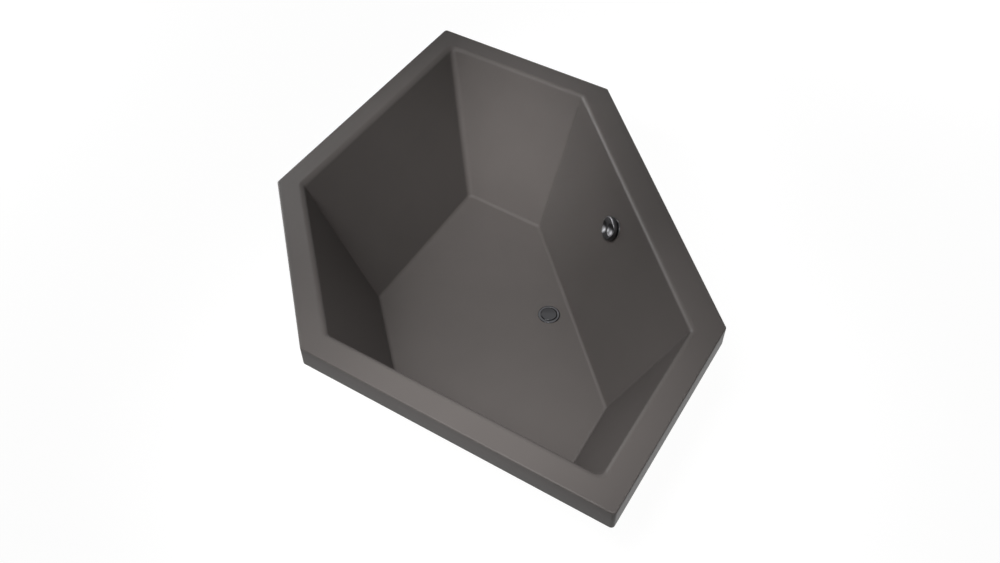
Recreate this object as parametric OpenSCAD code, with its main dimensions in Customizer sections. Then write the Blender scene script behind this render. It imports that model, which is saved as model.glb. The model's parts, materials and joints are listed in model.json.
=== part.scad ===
// Corner bathtub with a six-sided plan, on a steel underframe with levelling feet,
// with a rotary overflow that lifts the waste plug through a pull cable.
// Millimetres. Z up from the floor. The origin is under the middle of the square plan.
// The two long sides against the room's walls face -X and -Y.

/* [Plan] */
// Width and length of the square that the plan is cut from
overall_w = 1500; // [1400:10:1700]
// Leg of the corner cut off at the front
front_cut = 800; // [650:10:900]
// Leg of the corner cut off at the back
back_cut = 500; // [400:10:600]
// Radius of the outer corners in plan
outer_corner_r = 11; // [8:1:30]

/* [Rim] */
// Height of the rim above the room's floor
rim_height = 660; // [655:1:720]
// Width of the rim to the line where the basin wall would meet it
rim_w = 80; // [60:1:110]
// The same width along the front
rim_front_w = 100; // [80:1:140]
// Height of the outer lip
lip_h = 74; // [50:1:120]
// Radius of the rolled edge between rim and basin
rolled_edge_r = 21; // [14:1:28]
// Radius of the top edge of the lip
lip_edge_r = 4; // [2:0.5:8]

/* [Basin] */
// Depth from the rim to the basin floor
basin_depth = 512; // [420:1:520]
// Radius of the creases between the basin walls, in plan
crease_r = 20; // [16:1:40]
// Radius between walls and floor
floor_fillet_r = 15; // [8:1:20]
// Inset of the floor from a wall side, at the right-angled corners
floor_in_wall = 276.5; // [240:0.5:300]
// Inset of the floor from a wall side, at the back corner cut
floor_in_wall_back = 285.5; // [240:0.5:300]
// Inset of the floor from an end side, at the right-angled corners
floor_in_end = 281.5; // [240:0.5:300]
// Inset of the floor from an end side, at the front
floor_in_end_front = 291; // [240:0.5:300]
// Inset of the floor from the front side
floor_in_front = 276.5; // [240:0.5:290]
// Inset of the floor from the back side
floor_in_back = 270; // [240:0.5:300]

/* [Layers] */
// Thickness of the acrylic sheet
shell_t = 5; // [3:0.5:7]
// Thickness of the glass-fibre backing
backing_t = 4; // [2:0.5:6]
// Thickness of the base board
board_t = 16; // [12:1:19]
// Board edge inside the flat of the basin floor
board_margin = 4; // [2:1:12]
// Radius of the board's cut-out round the waste
board_cutout_r = 66; // [58:1:72]
// Width of the battens under the rim
batten_w = 48; // [35:1:50]
// Thickness of the battens under the rim
batten_t = 18; // [12:1:25]
// Gap between the battens and the lip
batten_gap = 4; // [2:1:8]

/* [Underframe] */
// Side of the square steel tube
rail_w = 25; // [24:1:30]
// Wall of the steel tube
rail_wall = 2; // [1.5:0.5:3]
// Distance of each long rail from the middle line
long_rail_s = 190; // [150:1:200]
// Long rail's front end, behind the front edge of the basin floor
rail_front_gap = 24; // [16:1:60]
// Long rail's back end, in front of the back edge of the basin floor
rail_back_gap = 42; // [30:1:80]
// Cross arm's end, inside the corner of the basin floor
arm_end_gap = 66; // [60:1:120]
// Foot's distance from the end of its rail
foot_from_end = 42; // [36:1:50]
// Screw's distance from a rail's end or joint
screw_from_end = 18; // [12:1:20]
// Shank diameter of the rail screws
rail_screw_d = 5; // [4:0.5:6]
// Head diameter of the rail screws
rail_screw_head_d = 10; // [8:0.5:12]
// Depth of the rail screws in the board
rail_screw_bite = 11; // [8:1:11]

/* [Feet] */
// Thread diameter of the levelling screws
foot_screw_d = 10; // [8:1:12]
// Diameter of the foot pads
pad_d = 50; // [40:1:60]
// Height of the foot pads
pad_h = 16; // [12:1:20]
// Across-flats size of the lock nuts
lock_nut_af = 17; // [15:1:19]
// Height of the lock nuts
lock_nut_h = 6; // [5:0.5:8]
// Travel of the feet for levelling
foot_travel = 15; // [8:1:15]

/* [Waste] */
// Distance of the waste from the front side
waste_u = 355; // [350:1:400]
// Diameter of the waste hole in the basin floor
waste_hole_d = 52; // [50:1:54]
// Diameter of the waste flange
waste_flange_d = 80; // [70:1:90]
// Diameter of the plug cap
plug_cap_d = 57; // [50:1:58]
// Lift of the plug
plug_lift = 9; // [6:0.5:9]
// Diameter of the plug stem
plug_stem_d = 6; // [5:0.5:7]
// Outside diameter of the drain outlet pipe
outlet_d = 40; // [38:1:40]
// Wall of the drain outlet pipe
outlet_wall = 2; // [1.5:0.5:3]
// Reach of the outlet pipe from the middle of the waste
outlet_reach = 220; // [200:1:260]

/* [Overflow] */
// Depth of the overflow's middle below the rim
overflow_depth = 124; // [90:1:150]
// Diameter of the overflow hole in the basin wall
overflow_hole_d = 52; // [50:1:54]
// Diameter of the turning knob
knob_d = 81; // [70:1:90]
// Thickness of the turning knob
knob_t = 16; // [12:1:20]
// Distance of the knob from the basin wall
knob_standoff = 15; // [12:1:20]
// Turn of the knob from closed to open, in degrees
knob_turn = 90; // [60:5:120]
// Turn of the knob's grip bar from upright, in degrees
grip_angle = 30; // [0:5:90]

/* [Hose] */
// Outer diameter of the ribbed overflow hose
hose_d = 25.6; // [24:0.2:28]
// Diameter of the hose at the valleys between its ribs
hose_valley_d = 22.4; // [21.6:0.2:23]
// Bore of the hose
hose_bore_d = 20; // [19.6:0.1:20.6]
// Distance from rib to rib
hose_pitch = 6; // [5:0.5:10]
// Bend radius of the hose
hose_bend_r = 36; // [30:1:36]
// Diameter of the pull cable
cable_d = 5; // [4:0.5:5]

/* [Hidden] */
$fn = 48;

// Clearances
bore_gap = 0.05;
seat_gap = 0.3;
eps = 1;

// Colours
acrylic_colour = [0.30, 0.29, 0.28];
fibre_colour = [0.78, 0.74, 0.60];
board_colour = [0.72, 0.58, 0.40];
wood_colour = [0.76, 0.62, 0.42];
zinc_colour = [0.70, 0.72, 0.74];
chrome_colour = [0.55, 0.56, 0.58];
rubber_colour = [0.10, 0.10, 0.10];
plastic_colour = [0.88, 0.88, 0.86];
dark_plastic_colour = [0.18, 0.18, 0.19];

// The six sides, anticlockwise from the left wall side:
// left wall, back, right wall, right end, front, left end
side_angle = [180, 225, 270, 0, 45, 90];
half_w = overall_w / 2;
front_dist = (overall_w - front_cut) / sqrt(2);
back_dist = (overall_w - back_cut) / sqrt(2);
side_dist = [half_w, back_dist, half_w, half_w, front_dist, half_w];
front_mid = (overall_w - front_cut) / 2;
plan_depth = front_dist + back_dist;
corner_turn = [for (j = [0:5]) (side_angle[j] - side_angle[(j + 5) % 6] + 360) % 360];
corner_steps = 4;

// Levels
basin_floor_z = rim_height - basin_depth;
layers_t = shell_t + backing_t;
board_top_z = basin_floor_z - layers_t;
board_low_z = board_top_z - board_t;
rail_low_z = board_low_z - rail_w;

// Insets at each corner, from the side before it and the side after it
rim_in = [[rim_w, rim_w], [rim_w, rim_w], [rim_w, rim_w], [rim_w, rim_w],
          [rim_w, rim_front_w], [rim_front_w, rim_w]];
floor_in = [[floor_in_end, floor_in_wall], [floor_in_wall_back, floor_in_back],
            [floor_in_back, floor_in_wall_back], [floor_in_wall, floor_in_end],
            [floor_in_end_front, floor_in_front], [floor_in_front, floor_in_end_front]];

// Where two lines cross, each given by the angle of its normal and its distance
function line_cross(a1, d1, a2, d2) =
    [d1 * sin(a2) - d2 * sin(a1), d2 * cos(a1) - d1 * cos(a2)] / sin(a2 - a1);

// Corner j of the plan, moved in from its two sides
function corner_pt(j, in_before, in_after) =
    line_cross(side_angle[(j + 5) % 6], side_dist[(j + 5) % 6] - in_before,
               side_angle[j], side_dist[j] - in_after);

// A six-sided ring with round corners: one pair of insets for each corner
function ring(insets, r, z) = [
    for (j = [0:5])
        let (mid = corner_pt(j, insets[j][0] + r, insets[j][1] + r))
            for (i = [0:corner_steps])
                let (a = side_angle[(j + 5) % 6] + corner_turn[j] * i / corner_steps)
                    [mid[0] + r * cos(a), mid[1] + r * sin(a), z]
];
function even_in(d) = [for (j = [0:5]) [d, d]];

// Inset of the basin wall at a depth, for a layer t behind its inner face:
// rolled edge at the top, straight wall, fillet at the floor
function wall_in(top_in, low_in, depth, t) =
    let (k = (low_in - top_in) / basin_depth,
         q = sqrt(1 + k * k),
         edge_mid = top_in + k * rolled_edge_r - rolled_edge_r * q,
         foot_depth = basin_depth - floor_fillet_r,
         foot_mid = top_in + k * foot_depth + floor_fillet_r * q,
         edge_r = rolled_edge_r - t,
         foot_r = floor_fillet_r + t)
        depth < rolled_edge_r - edge_r * k / q ?
            edge_mid + sqrt(max(0, edge_r * edge_r - pow(rolled_edge_r - depth, 2)))
        : depth > foot_depth + foot_r * k / q ?
            foot_mid - sqrt(max(0, foot_r * foot_r - pow(depth - foot_depth, 2)))
        : top_in - t * q + k * depth;
function basin_in(depth, t) = [
    for (j = [0:5]) [for (i = [0:1]) wall_in(rim_in[j][i], floor_in[j][i], depth, t)]
];
// Plan radius of the basin's creases at a depth
mean_low_in = (floor_in_wall + floor_in_end) / 2;
function basin_r(depth, t) =
    let (k = (mean_low_in - rim_w) / basin_depth)
        crease_r + rim_w + k * depth - wall_in(rim_w, mean_low_in, depth, t);
function basin_ring(depth, t) = ring(basin_in(depth, t), basin_r(depth, t), rim_height - depth);
edge_angles = [0, 18, 36, 54, 70];
foot_angles = [24, 45, 66, 90];
function basin_depths(t) = concat(
    [for (a = edge_angles) rolled_edge_r - (rolled_edge_r - t) * cos(a)],
    [for (a = foot_angles) basin_depth - floor_fillet_r + (floor_fillet_r + t) * sin(a)]
);
function backward(list) = [for (i = [len(list) - 1:-1:0]) list[i]];
// The basin's surface at layer t, from the rim down to the floor
function basin_rings(t) = [for (d = basin_depths(t)) basin_ring(d, t)];

// Solid through a list of rings that have the same number of points. A quad between two rings
// is cut the same way whether the rings go up or down, so that layers fit each other.
module loft(rings) {
    n = len(rings[0]);
    m = len(rings);
    sides = [
        for (k = [0:m - 2], i = [0:n - 1])
            let (a = k * n + i, b = k * n + (i + 1) % n, rising = rings[k + 1][0][2] > rings[k][0][2])
                each rising ? [[a, a + n, b + n], [a, b + n, b]] : [[a, a + n, b], [b, a + n, b + n]]
    ];
    polyhedron([for (r = rings) each r],
               concat(sides, [[for (i = [0:n - 1]) i]], [[for (i = [n - 1:-1:0]) (m - 1) * n + i]]));
}

// Frame along the middle line: X along the front side, -Y into the tub
module middle_frame() {
    translate([front_mid, front_mid, 0]) rotate([0, 0, -45]) children();
}
function across(p) = (p[0] - p[1]) / sqrt(2);
function inward(p) = (2 * front_mid - p[0] - p[1]) / sqrt(2);

module ring_of(r_out, r_in, z_low, z_high) {
    translate([0, 0, z_low]) difference() {
        cylinder(r = r_out, h = z_high - z_low);
        translate([0, 0, -eps]) cylinder(r = r_in, h = z_high - z_low + 2 * eps);
    }
}
module rod(r, z_low, z_high) {
    translate([0, 0, z_low]) cylinder(r = r, h = z_high - z_low);
}

// Waste, in a frame with its origin on the basin floor
waste_hole_r = waste_hole_d / 2;
top_seal_t = 1;
bottom_seal_t = 3;
recess_r = plug_cap_d / 2 + 1.5;
recess_z = top_seal_t + 1;
seat_r = waste_hole_r - 3;
seat_top = -2;
tail_r = 21;
throat_r = tail_r - 3.5;
tail_low = -19;
body_top = -(layers_t + bottom_seal_t);
body_flange_t = 4;
chamber_r = 31;
chamber_wall = 3;
chamber_h = 38;
chamber_low = body_top - chamber_h;
trap_r = 46;
trap_wall = 3;
trap_h = 56;
trap_open_low = chamber_low - trap_h;
dip_r = 20;
dip_wall = 2.5;
dip_reach = 6;
dip_low = trap_open_low - dip_reach;
outlet_r = outlet_d / 2;
under_rail_gap = 2;
outlet_z = rail_low_z - under_rail_gap - outlet_r - basin_floor_z;
socket_r = 24;
socket_from = trap_r - trap_wall - 0.5;
socket_to = 66;
outlet_seal_t = 4;
outlet_nut_lip = 4;
outlet_nut_to = socket_to + outlet_seal_t + outlet_nut_lip;
nut_rail_gap = 3;
cup_r = 50;
cup_top = trap_open_low + 9.5;
cup_seal_t = 2;
cup_low = trap_open_low - 25;
cup_wall = 4;
inlet_drop = 20;
inlet_z = body_top - inlet_drop;
nipple_r = 8.9;
nipple_bore_r = 7.4;
boss_r = 14;
boss_to = 42;
nipple_to = 64;
collar_len = 16;
collar_wall = 3.4;

// Lifting gear under the plug
crank_x = 22;
crank_drop = 24;
crank_z = body_top - crank_drop;
crank_up = 12;
crank_w = 8;
crank_bar = 3;
crank_nose_r = 2;
crank_hub_r = 5;
crank_pin_r = 2;
ear_y = 21;
ear_r = 4.5;
ear_half_t = 4;
pin_half_len = 22.5;
crank_swing = 2 * asin(plug_lift / (2 * crank_x));
wire_z = crank_z + crank_up;
wire_r = 1;
wire_travel = 2 * crank_up * sin(crank_swing / 2);
nipple_barrel_r = 2.2;
barrel_x = crank_x - wire_travel / 2 - crank_bar / 2 - nipple_barrel_r - seat_gap;
gland_r = 5;
gland_from = chamber_r - 3;
gland_to = 44;
sheath_from = 38;
stem_r = plug_stem_d / 2;
stem_low = crank_z - plug_lift / 2 + crank_nose_r + seat_gap;

module waste_frame() {
    middle_frame() translate([0, -waste_u, basin_floor_z]) children();
}

// Overflow, in a frame with its origin on the basin's front wall and Z into the basin
front_k = (floor_in_front - rim_front_w) / basin_depth;
lean = atan(front_k);
overflow_y = -(rim_front_w + front_k * overflow_depth);
overflow_z = rim_height - overflow_depth;
overflow_hole_r = overflow_hole_d / 2;
overflow_seal_t = 3;
back_low = -(layers_t + overflow_seal_t);
box_flange_t = 3;
box_r = 30;
box_wall = 3;
box_low = back_low - 32;
spout_z = back_low - 16;
spout_from = box_r - 4;
spout_boss_to = 38;
spout_to = 58;
upper_gland_x = 21;
upper_gland_z = back_low - 22;
upper_gland_from = 25;
upper_gland_to = 33;
spindle_r = 4;
hub_r = 9;

module overflow_frame() {
    middle_frame() translate([0, overflow_y, overflow_z]) rotate([90 - lean, 0, 0]) children();
}
// A point of the overflow's frame, in the frame along the middle line
function from_overflow(p) = [
    p[0],
    overflow_y + p[1] * sin(lean) - p[2] * cos(lean),
    overflow_z + p[1] * cos(lean) + p[2] * sin(lean)
];

module waste_hole(r) {
    waste_frame() rod(r, -layers_t - board_t - eps, eps);
}
module overflow_hole(r) {
    overflow_frame() rod(r, -layers_t - eps, eps);
}

// Basin, rim and lip of one formed acrylic sheet
module tub_shell() {
    lip_angles = [90, 60, 30, 0];
    lip_top = [
        for (a = lip_angles)
            ring(even_in(lip_edge_r * (1 - cos(a))),
                 outer_corner_r - lip_edge_r * (1 - cos(a)),
                 rim_height - lip_edge_r * (1 - sin(a)))
    ];
    lip_low = ring(even_in(0), outer_corner_r, rim_height - lip_h);
    lip_low_inside = ring(even_in(shell_t), outer_corner_r - shell_t, rim_height - lip_h);
    lip_high_inside = ring(even_in(shell_t), outer_corner_r - shell_t, rim_height - shell_t);
    color(acrylic_colour) difference() {
        loft(concat(backward(basin_rings(0)), lip_top, [lip_low, lip_low_inside, lip_high_inside],
                    basin_rings(shell_t)));
        waste_hole(waste_hole_r);
        overflow_hole(overflow_hole_r);
    }
}

// Glass-fibre layer bonded to the back of the rim and basin
module fibre_backing() {
    edge_in = shell_t + seat_gap;
    edge_high = ring(even_in(edge_in), outer_corner_r - edge_in, rim_height - shell_t);
    edge_low = ring(even_in(edge_in), outer_corner_r - edge_in, rim_height - layers_t);
    color(fibre_colour) difference() {
        loft(concat(backward(basin_rings(shell_t)), [edge_high, edge_low], basin_rings(layers_t)));
        waste_hole(waste_hole_r);
        overflow_hole(overflow_hole_r);
    }
}

// Board bonded under the basin floor, cut out round the waste
module base_board() {
    flat_in = basin_in(basin_depth, 0);
    outline = [for (j = [0:5]) corner_pt(j, flat_in[j][0] + board_margin, flat_in[j][1] + board_margin)];
    color(board_colour) difference() {
        translate([0, 0, board_low_z]) linear_extrude(board_t) polygon(outline);
        waste_frame() {
            rod(board_cutout_r, -layers_t - board_t - eps, 0);
            translate([-board_cutout_r, 0, -layers_t - board_t - eps])
                cube([2 * board_cutout_r, waste_u, board_t + layers_t + eps]);
        }
        each_rail_screw() rod(rail_screw_d / 2 + bore_gap, 0, rail_w + rail_screw_bite + 2);
    }
}

// One batten under the rim, mitred at both ends, along side i
module batten(i) {
    near = shell_t + batten_gap;
    far = near + batten_w;
    after = (i + 1) % 6;
    color(wood_colour) translate([0, 0, rim_height - layers_t - batten_t])
        linear_extrude(batten_t) polygon([
            corner_pt(i, near, near), corner_pt(after, near, near),
            corner_pt(after, far, far), corner_pt(i, far, far)
        ]);
}
module batten_wall_left() { batten(0); }
module batten_back() { batten(1); }
module batten_wall_right() { batten(2); }
module batten_end_right() { batten(3); }
module batten_front() { batten(4); }
module batten_end_left() { batten(5); }

// Underframe, in the frame along the middle line
floor_corner = corner_pt(0, floor_in_end, floor_in_wall);
// The cross rail stands under the widest part of the floor, and always clear of the outlet's nut
cross_u = max(inward(floor_corner), waste_u + outlet_nut_to + nut_rail_gap + rail_w / 2);
arm_end_s = abs(across(floor_corner)) - arm_end_gap;
rail_front_u = floor_in_front + rail_front_gap;
rail_back_u = plan_depth - floor_in_back - rail_back_gap;
long_rail_len = rail_back_u - rail_front_u;
arm_from_s = long_rail_s + rail_w / 2;
arm_len = arm_end_s - arm_from_s;
middle_len = 2 * (long_rail_s - rail_w / 2);
foot_places = [
    for (side = [-1, 1])
        each [[side * long_rail_s, rail_front_u + foot_from_end],
              [side * long_rail_s, rail_back_u - foot_from_end],
              [side * (arm_end_s - foot_from_end), cross_u]]
];
long_rail_screw_us = [rail_front_u + screw_from_end, cross_u + rail_w / 2 + screw_from_end,
                      rail_back_u - screw_from_end];
arm_screw_ss = [arm_from_s + screw_from_end, arm_end_s - screw_from_end];
screw_places = concat(
    [for (side = [-1, 1], u = long_rail_screw_us) [side * long_rail_s, u]],
    [for (side = [-1, 1], s = arm_screw_ss) [side * s, cross_u]],
    [for (side = [-1, 1]) [side * (middle_len / 2 - screw_from_end), cross_u]]
);

module each_rail_screw() {
    middle_frame() for (p = screw_places) translate([p[0], -p[1], rail_low_z]) children();
}
module at_foot(i) {
    middle_frame() translate([foot_places[i][0], -foot_places[i][1], 0]) children();
}

bush_wall = 2.5;
bush_flange_out = 2.5;
bush_r = foot_screw_d / 2 + bush_wall;
bush_flange_r = bush_r + bush_flange_out;
bush_flange_t = 2;
bush_len = 14;

// A square tube along X, from the middle of its end face
module rail_tube(len) {
    translate([0, -rail_w / 2, rail_low_z]) difference() {
        cube([len, rail_w, rail_w]);
        translate([-eps, rail_wall, rail_wall])
            cube([len + 2 * eps, rail_w - 2 * rail_wall, rail_w - 2 * rail_wall]);
    }
}
module rail_holes() {
    each_rail_screw() rod(rail_screw_d / 2 + bore_gap, -eps, rail_w + eps);
    for (i = [0:5]) at_foot(i) rod(bush_r + bore_gap, rail_low_z - eps, rail_low_z + rail_wall + eps);
}
module long_rail(side) {
    color(zinc_colour) difference() {
        middle_frame() translate([side * long_rail_s, -rail_front_u, 0]) rotate([0, 0, -90])
            rail_tube(long_rail_len);
        rail_holes();
    }
}
module cross_arm(side) {
    color(zinc_colour) difference() {
        middle_frame() translate([side * (arm_from_s + arm_len / 2) - arm_len / 2, -cross_u, 0])
            rail_tube(arm_len);
        rail_holes();
    }
}
module long_rail_left() { long_rail(-1); }
module long_rail_right() { long_rail(1); }
module cross_arm_left() { cross_arm(-1); }
module cross_arm_right() { cross_arm(1); }
module cross_rail_middle() {
    color(zinc_colour) difference() {
        middle_frame() translate([-middle_len / 2, -cross_u, 0]) rail_tube(middle_len);
        rail_holes();
    }
}

// Pan-head screws through the rails into the board
screw_head_h = 3;
screw_slot_w = 1.2;
screw_slot_deep = 1;
module rail_screws() {
    color(zinc_colour) each_rail_screw() {
        rod(rail_screw_d / 2, -screw_head_h / 2, rail_w + rail_screw_bite);
        difference() {
            rod(rail_screw_head_d / 2, -screw_head_h, 0);
            translate([-rail_screw_head_d, -screw_slot_w / 2, -screw_head_h - eps])
                cube([2 * rail_screw_head_d, screw_slot_w, eps + screw_slot_deep]);
        }
    }
}

// Threaded bushes in the lower wall of the rails
module foot_bushes() {
    color(zinc_colour) for (i = [0:5]) at_foot(i) difference() {
        union() {
            rod(bush_r, rail_low_z - bush_flange_t, rail_low_z + bush_len);
            rod(bush_flange_r, rail_low_z - bush_flange_t, rail_low_z);
        }
        rod(foot_screw_d / 2 + bore_gap, rail_low_z - bush_flange_t - eps, rail_low_z + bush_len + eps);
    }
}

pad_floor = 5;
foot_head_r = foot_screw_d / 2 + 3;
foot_head_h = 7;
screw_left = 8;
foot_screw_top = rail_low_z - bush_flange_t + screw_left + foot_travel;
lock_nut_top = rail_low_z - bush_flange_t - seat_gap;

// Levelling screw with its lock nut. It is long enough to leave screw_left in the bush at full travel.
module foot_screw(i) {
    color(zinc_colour) at_foot(i) {
        rod(foot_head_r, pad_floor, pad_floor + foot_head_h);
        rod(foot_screw_d / 2, pad_floor + 1, foot_screw_top);
        difference() {
            translate([0, 0, lock_nut_top - lock_nut_h])
                cylinder(d = lock_nut_af / cos(30), h = lock_nut_h, $fn = 6);
            rod(foot_screw_d / 2 + bore_gap, lock_nut_top - lock_nut_h - eps, lock_nut_top + eps);
        }
    }
}
// Plastic pad that the levelling screw stands in
module foot_pad(i) {
    pad_r = pad_d / 2;
    neck_r = foot_head_r + 4;
    color(dark_plastic_colour) at_foot(i) difference() {
        rotate_extrude() polygon([
            [0, 0], [pad_r - 1, 0], [pad_r, 1], [pad_r, 3], [pad_r - 2, 5],
            [neck_r + 2, 7], [neck_r, 9], [neck_r, pad_h], [0, pad_h]
        ]);
        rod(foot_head_r + bore_gap, pad_floor, pad_h + eps);
    }
}

// Chrome flange in the basin floor, with a seat for the plug and a guide for its stem
module waste_flange() {
    flange_r = waste_flange_d / 2;
    flange_top = top_seal_t + 2.8;
    neck_r = waste_hole_r - 0.5;
    guide_r = stem_r + 3;
    guide_top = -11;
    arm_w = 2.5;
    color(chrome_colour) waste_frame() {
        rotate_extrude() polygon([
            [recess_r, recess_z], [recess_r, flange_top - 0.6], [recess_r + 0.6, flange_top],
            [flange_r - 4, flange_top], [flange_r - 1.2, flange_top - 1],
            [flange_r, flange_top - 2.2], [flange_r, top_seal_t], [neck_r, top_seal_t],
            [neck_r, -layers_t + 1], [tail_r, body_top + 0.5], [tail_r, tail_low],
            [throat_r, tail_low], [throat_r, seat_top - (seat_r - throat_r)],
            [seat_r, seat_top], [seat_r, recess_z]
        ]);
        difference() {
            union() {
                rod(guide_r, tail_low, guide_top);
                for (a = [45, 135])
                    rotate([0, 0, a]) translate([-throat_r - 0.5, -arm_w / 2, tail_low + 0.5])
                        cube([2 * throat_r + 1, arm_w, 4]);
            }
            rod(stem_r + bore_gap, tail_low - eps, guide_top + eps);
        }
    }
}
module waste_top_seal() {
    color(rubber_colour) waste_frame()
        ring_of(waste_flange_d / 2 - 2, waste_hole_r + 1, 0, top_seal_t);
}
module waste_bottom_seal() {
    color(rubber_colour) waste_frame()
        ring_of(waste_flange_d / 2, waste_hole_r - 0.4, body_top, -layers_t);
}

// Body under the basin floor: chamber, dip tube, trap housing, inlet and outlet sockets
module waste_body() {
    color(plastic_colour) waste_frame() difference() {
        union() {
            rod(waste_flange_d / 2 + 1, body_top - body_flange_t, body_top);
            rod(chamber_r, chamber_low, body_top - body_flange_t / 2);
            rod(trap_r, trap_open_low, chamber_low);
            for (side = [-1, 1])
                translate([crank_x, side * ear_y, crank_z]) rotate([90, 0, 0])
                    rod(ear_r, -ear_half_t, ear_half_t);
            translate([0, 0, inlet_z]) rotate([-90, 0, 0]) rod(boss_r, chamber_r - 5, boss_to);
            translate([0, 0, inlet_z]) rotate([-90, 0, 0]) rod(nipple_r, chamber_r, nipple_to);
            translate([0, 0, outlet_z]) rotate([90, 0, 0]) rod(socket_r, socket_from, socket_to);
            translate([0, 0, wire_z]) rotate([0, 90, 0]) rod(gland_r, gland_from, gland_to);
        }
        rod(tail_r + bore_gap, body_top - body_flange_t - eps, body_top + eps);
        rod(chamber_r - chamber_wall, chamber_low + chamber_wall, body_top - body_flange_t);
        rod(dip_r - dip_wall, trap_open_low - eps, chamber_low + chamber_wall + eps);
        ring_of(trap_r - trap_wall, dip_r, trap_open_low - eps, chamber_low - trap_wall);
        translate([crank_x, 0, crank_z]) rotate([90, 0, 0])
            rod(crank_pin_r + bore_gap, -pin_half_len - 0.5, pin_half_len + 0.5);
        translate([0, 0, inlet_z]) rotate([-90, 0, 0])
            rod(nipple_bore_r, chamber_r - chamber_wall - 2, nipple_to + eps);
        translate([0, 0, outlet_z]) rotate([90, 0, 0]) {
            rod(outlet_r - outlet_wall, trap_r - trap_wall - 3, socket_to);
            rod(outlet_r + bore_gap, trap_r + 2, socket_to + eps);
        }
        translate([0, 0, wire_z]) rotate([0, 90, 0])
            rod(cable_d / 2 + seat_gap, chamber_r - 6, gland_to + eps);
    }
    color(plastic_colour) waste_frame() ring_of(dip_r, dip_r - dip_wall, dip_low, trap_open_low);
}

// Screw-on cup that closes the trap and keeps its water
module trap_cup() {
    step_z = trap_open_low - cup_seal_t;
    thread_r = trap_r + 0.1;
    ribs = 16;
    color(plastic_colour) waste_frame() {
        rotate_extrude() polygon([
            [0, cup_low], [cup_r - 4, cup_low], [cup_r, cup_low + 4], [cup_r, cup_top],
            [thread_r, cup_top], [thread_r, step_z], [trap_r - trap_wall, step_z],
            [trap_r - trap_wall, cup_low + cup_wall], [0, cup_low + cup_wall]
        ]);
        for (i = [0:ribs - 1])
            rotate([0, 0, (i + 0.5) * 360 / ribs]) translate([cup_r, 0, 0])
                rod(1.6, cup_low + 6, cup_top - 2);
    }
}
module trap_cup_seal() {
    color(rubber_colour) waste_frame()
        ring_of(trap_r, trap_r - trap_wall + 0.2, trap_open_low - cup_seal_t, trap_open_low);
}

// Drain outlet towards the back
module outlet_line() {
    waste_frame() translate([0, 0, outlet_z]) rotate([90, 0, 0]) children();
}
// Its end takes the drain's coupling, as far as a bead
spigot_len = 50;
module outlet_pipe() {
    bead_t = 2;
    bead_out = 1.5;
    bead_at = outlet_reach - spigot_len;
    color(plastic_colour) outlet_line() {
        ring_of(outlet_r, outlet_r - outlet_wall, trap_r + 4, outlet_reach);
        ring_of(outlet_r + bead_out, outlet_r - 1, bead_at - bead_t, bead_at);
    }
}
module outlet_seal() {
    color(rubber_colour) outlet_line()
        ring_of(socket_r, outlet_r + bore_gap, socket_to, socket_to + outlet_seal_t);
}
module outlet_nut() {
    nut_r = socket_r + 5;
    nut_from = socket_to - 12;
    ribs = 18;
    color(plastic_colour) outlet_line() difference() {
        union() {
            rod(nut_r, nut_from, outlet_nut_to);
            for (i = [0:ribs - 1])
                rotate([0, 0, i * 360 / ribs]) translate([nut_r, 0, 0]) rod(1.4, nut_from, outlet_nut_to - 2);
        }
        rod(socket_r + 0.1, nut_from - eps, socket_to + outlet_seal_t);
        rod(outlet_r + 0.2, nut_from, outlet_nut_to + eps);
    }
}

// Plug, with its seal and stem
cap_low = recess_z + seat_gap;
boss_low = -1;
seal_t = 3;
seal_gap = 0.45;
module plug_cap() {
    cap_r = plug_cap_d / 2;
    cap_top = cap_low + 4;
    boss_of_cap_r = seat_r - 4;
    color(chrome_colour) waste_frame() difference() {
        rotate_extrude() polygon([
            [0, boss_low], [boss_of_cap_r, boss_low], [boss_of_cap_r, cap_low], [cap_r - 2, cap_low],
            [cap_r, cap_low + 1], [cap_r, cap_top - 1.2], [cap_r - 1, cap_top - 0.3],
            [cap_r - 4, cap_top], [0, cap_top + 0.6]
        ]);
        rod(stem_r + bore_gap, boss_low - eps, boss_low + 3);
    }
}
module plug_seal() {
    collar_r = stem_r + 1.5 + bore_gap;
    seal_low = boss_low - seal_t;
    low_r = seat_r + seal_low - seat_top - seal_gap;
    top_r = seat_r - 0.6;
    color(rubber_colour) waste_frame() rotate_extrude() polygon([
        [collar_r, seal_low], [low_r, seal_low], [top_r, seal_low + top_r - low_r],
        [top_r, boss_low], [collar_r, boss_low]
    ]);
}
module plug_stem() {
    color(chrome_colour) waste_frame() {
        rod(stem_r, stem_low, boss_low + 3);
        rod(stem_r + 1.5, boss_low - seal_t - 1, boss_low);
    }
}

// Bell crank that the cable pulls and that lifts the stem
module lift_crank() {
    slot_w = 2 * wire_r + 1;
    color(dark_plastic_colour) waste_frame() translate([crank_x, 0, crank_z]) rotate([0, -crank_swing / 2, 0])
        difference() {
            union() {
                rotate([90, 0, 0]) rod(crank_hub_r, -crank_w / 2, crank_w / 2);
                translate([-crank_x, -crank_w / 2, -crank_bar / 2]) cube([crank_x, crank_w, crank_bar]);
                translate([-crank_x, 0, 0]) rotate([90, 0, 0]) rod(crank_nose_r, -crank_w / 2, crank_w / 2);
                translate([-crank_bar / 2, -crank_w / 2, 0]) cube([crank_bar, crank_w, crank_up + 2.5]);
            }
            rotate([90, 0, 0]) rod(crank_pin_r + bore_gap, -crank_w, crank_w);
            translate([-crank_bar, -slot_w / 2, crank_hub_r + 1.5]) cube([2 * crank_bar, slot_w, crank_up]);
        }
}
module crank_pin() {
    color(zinc_colour) waste_frame() translate([crank_x, 0, crank_z]) rotate([90, 0, 0])
        rod(crank_pin_r, -pin_half_len, pin_half_len);
}
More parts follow.
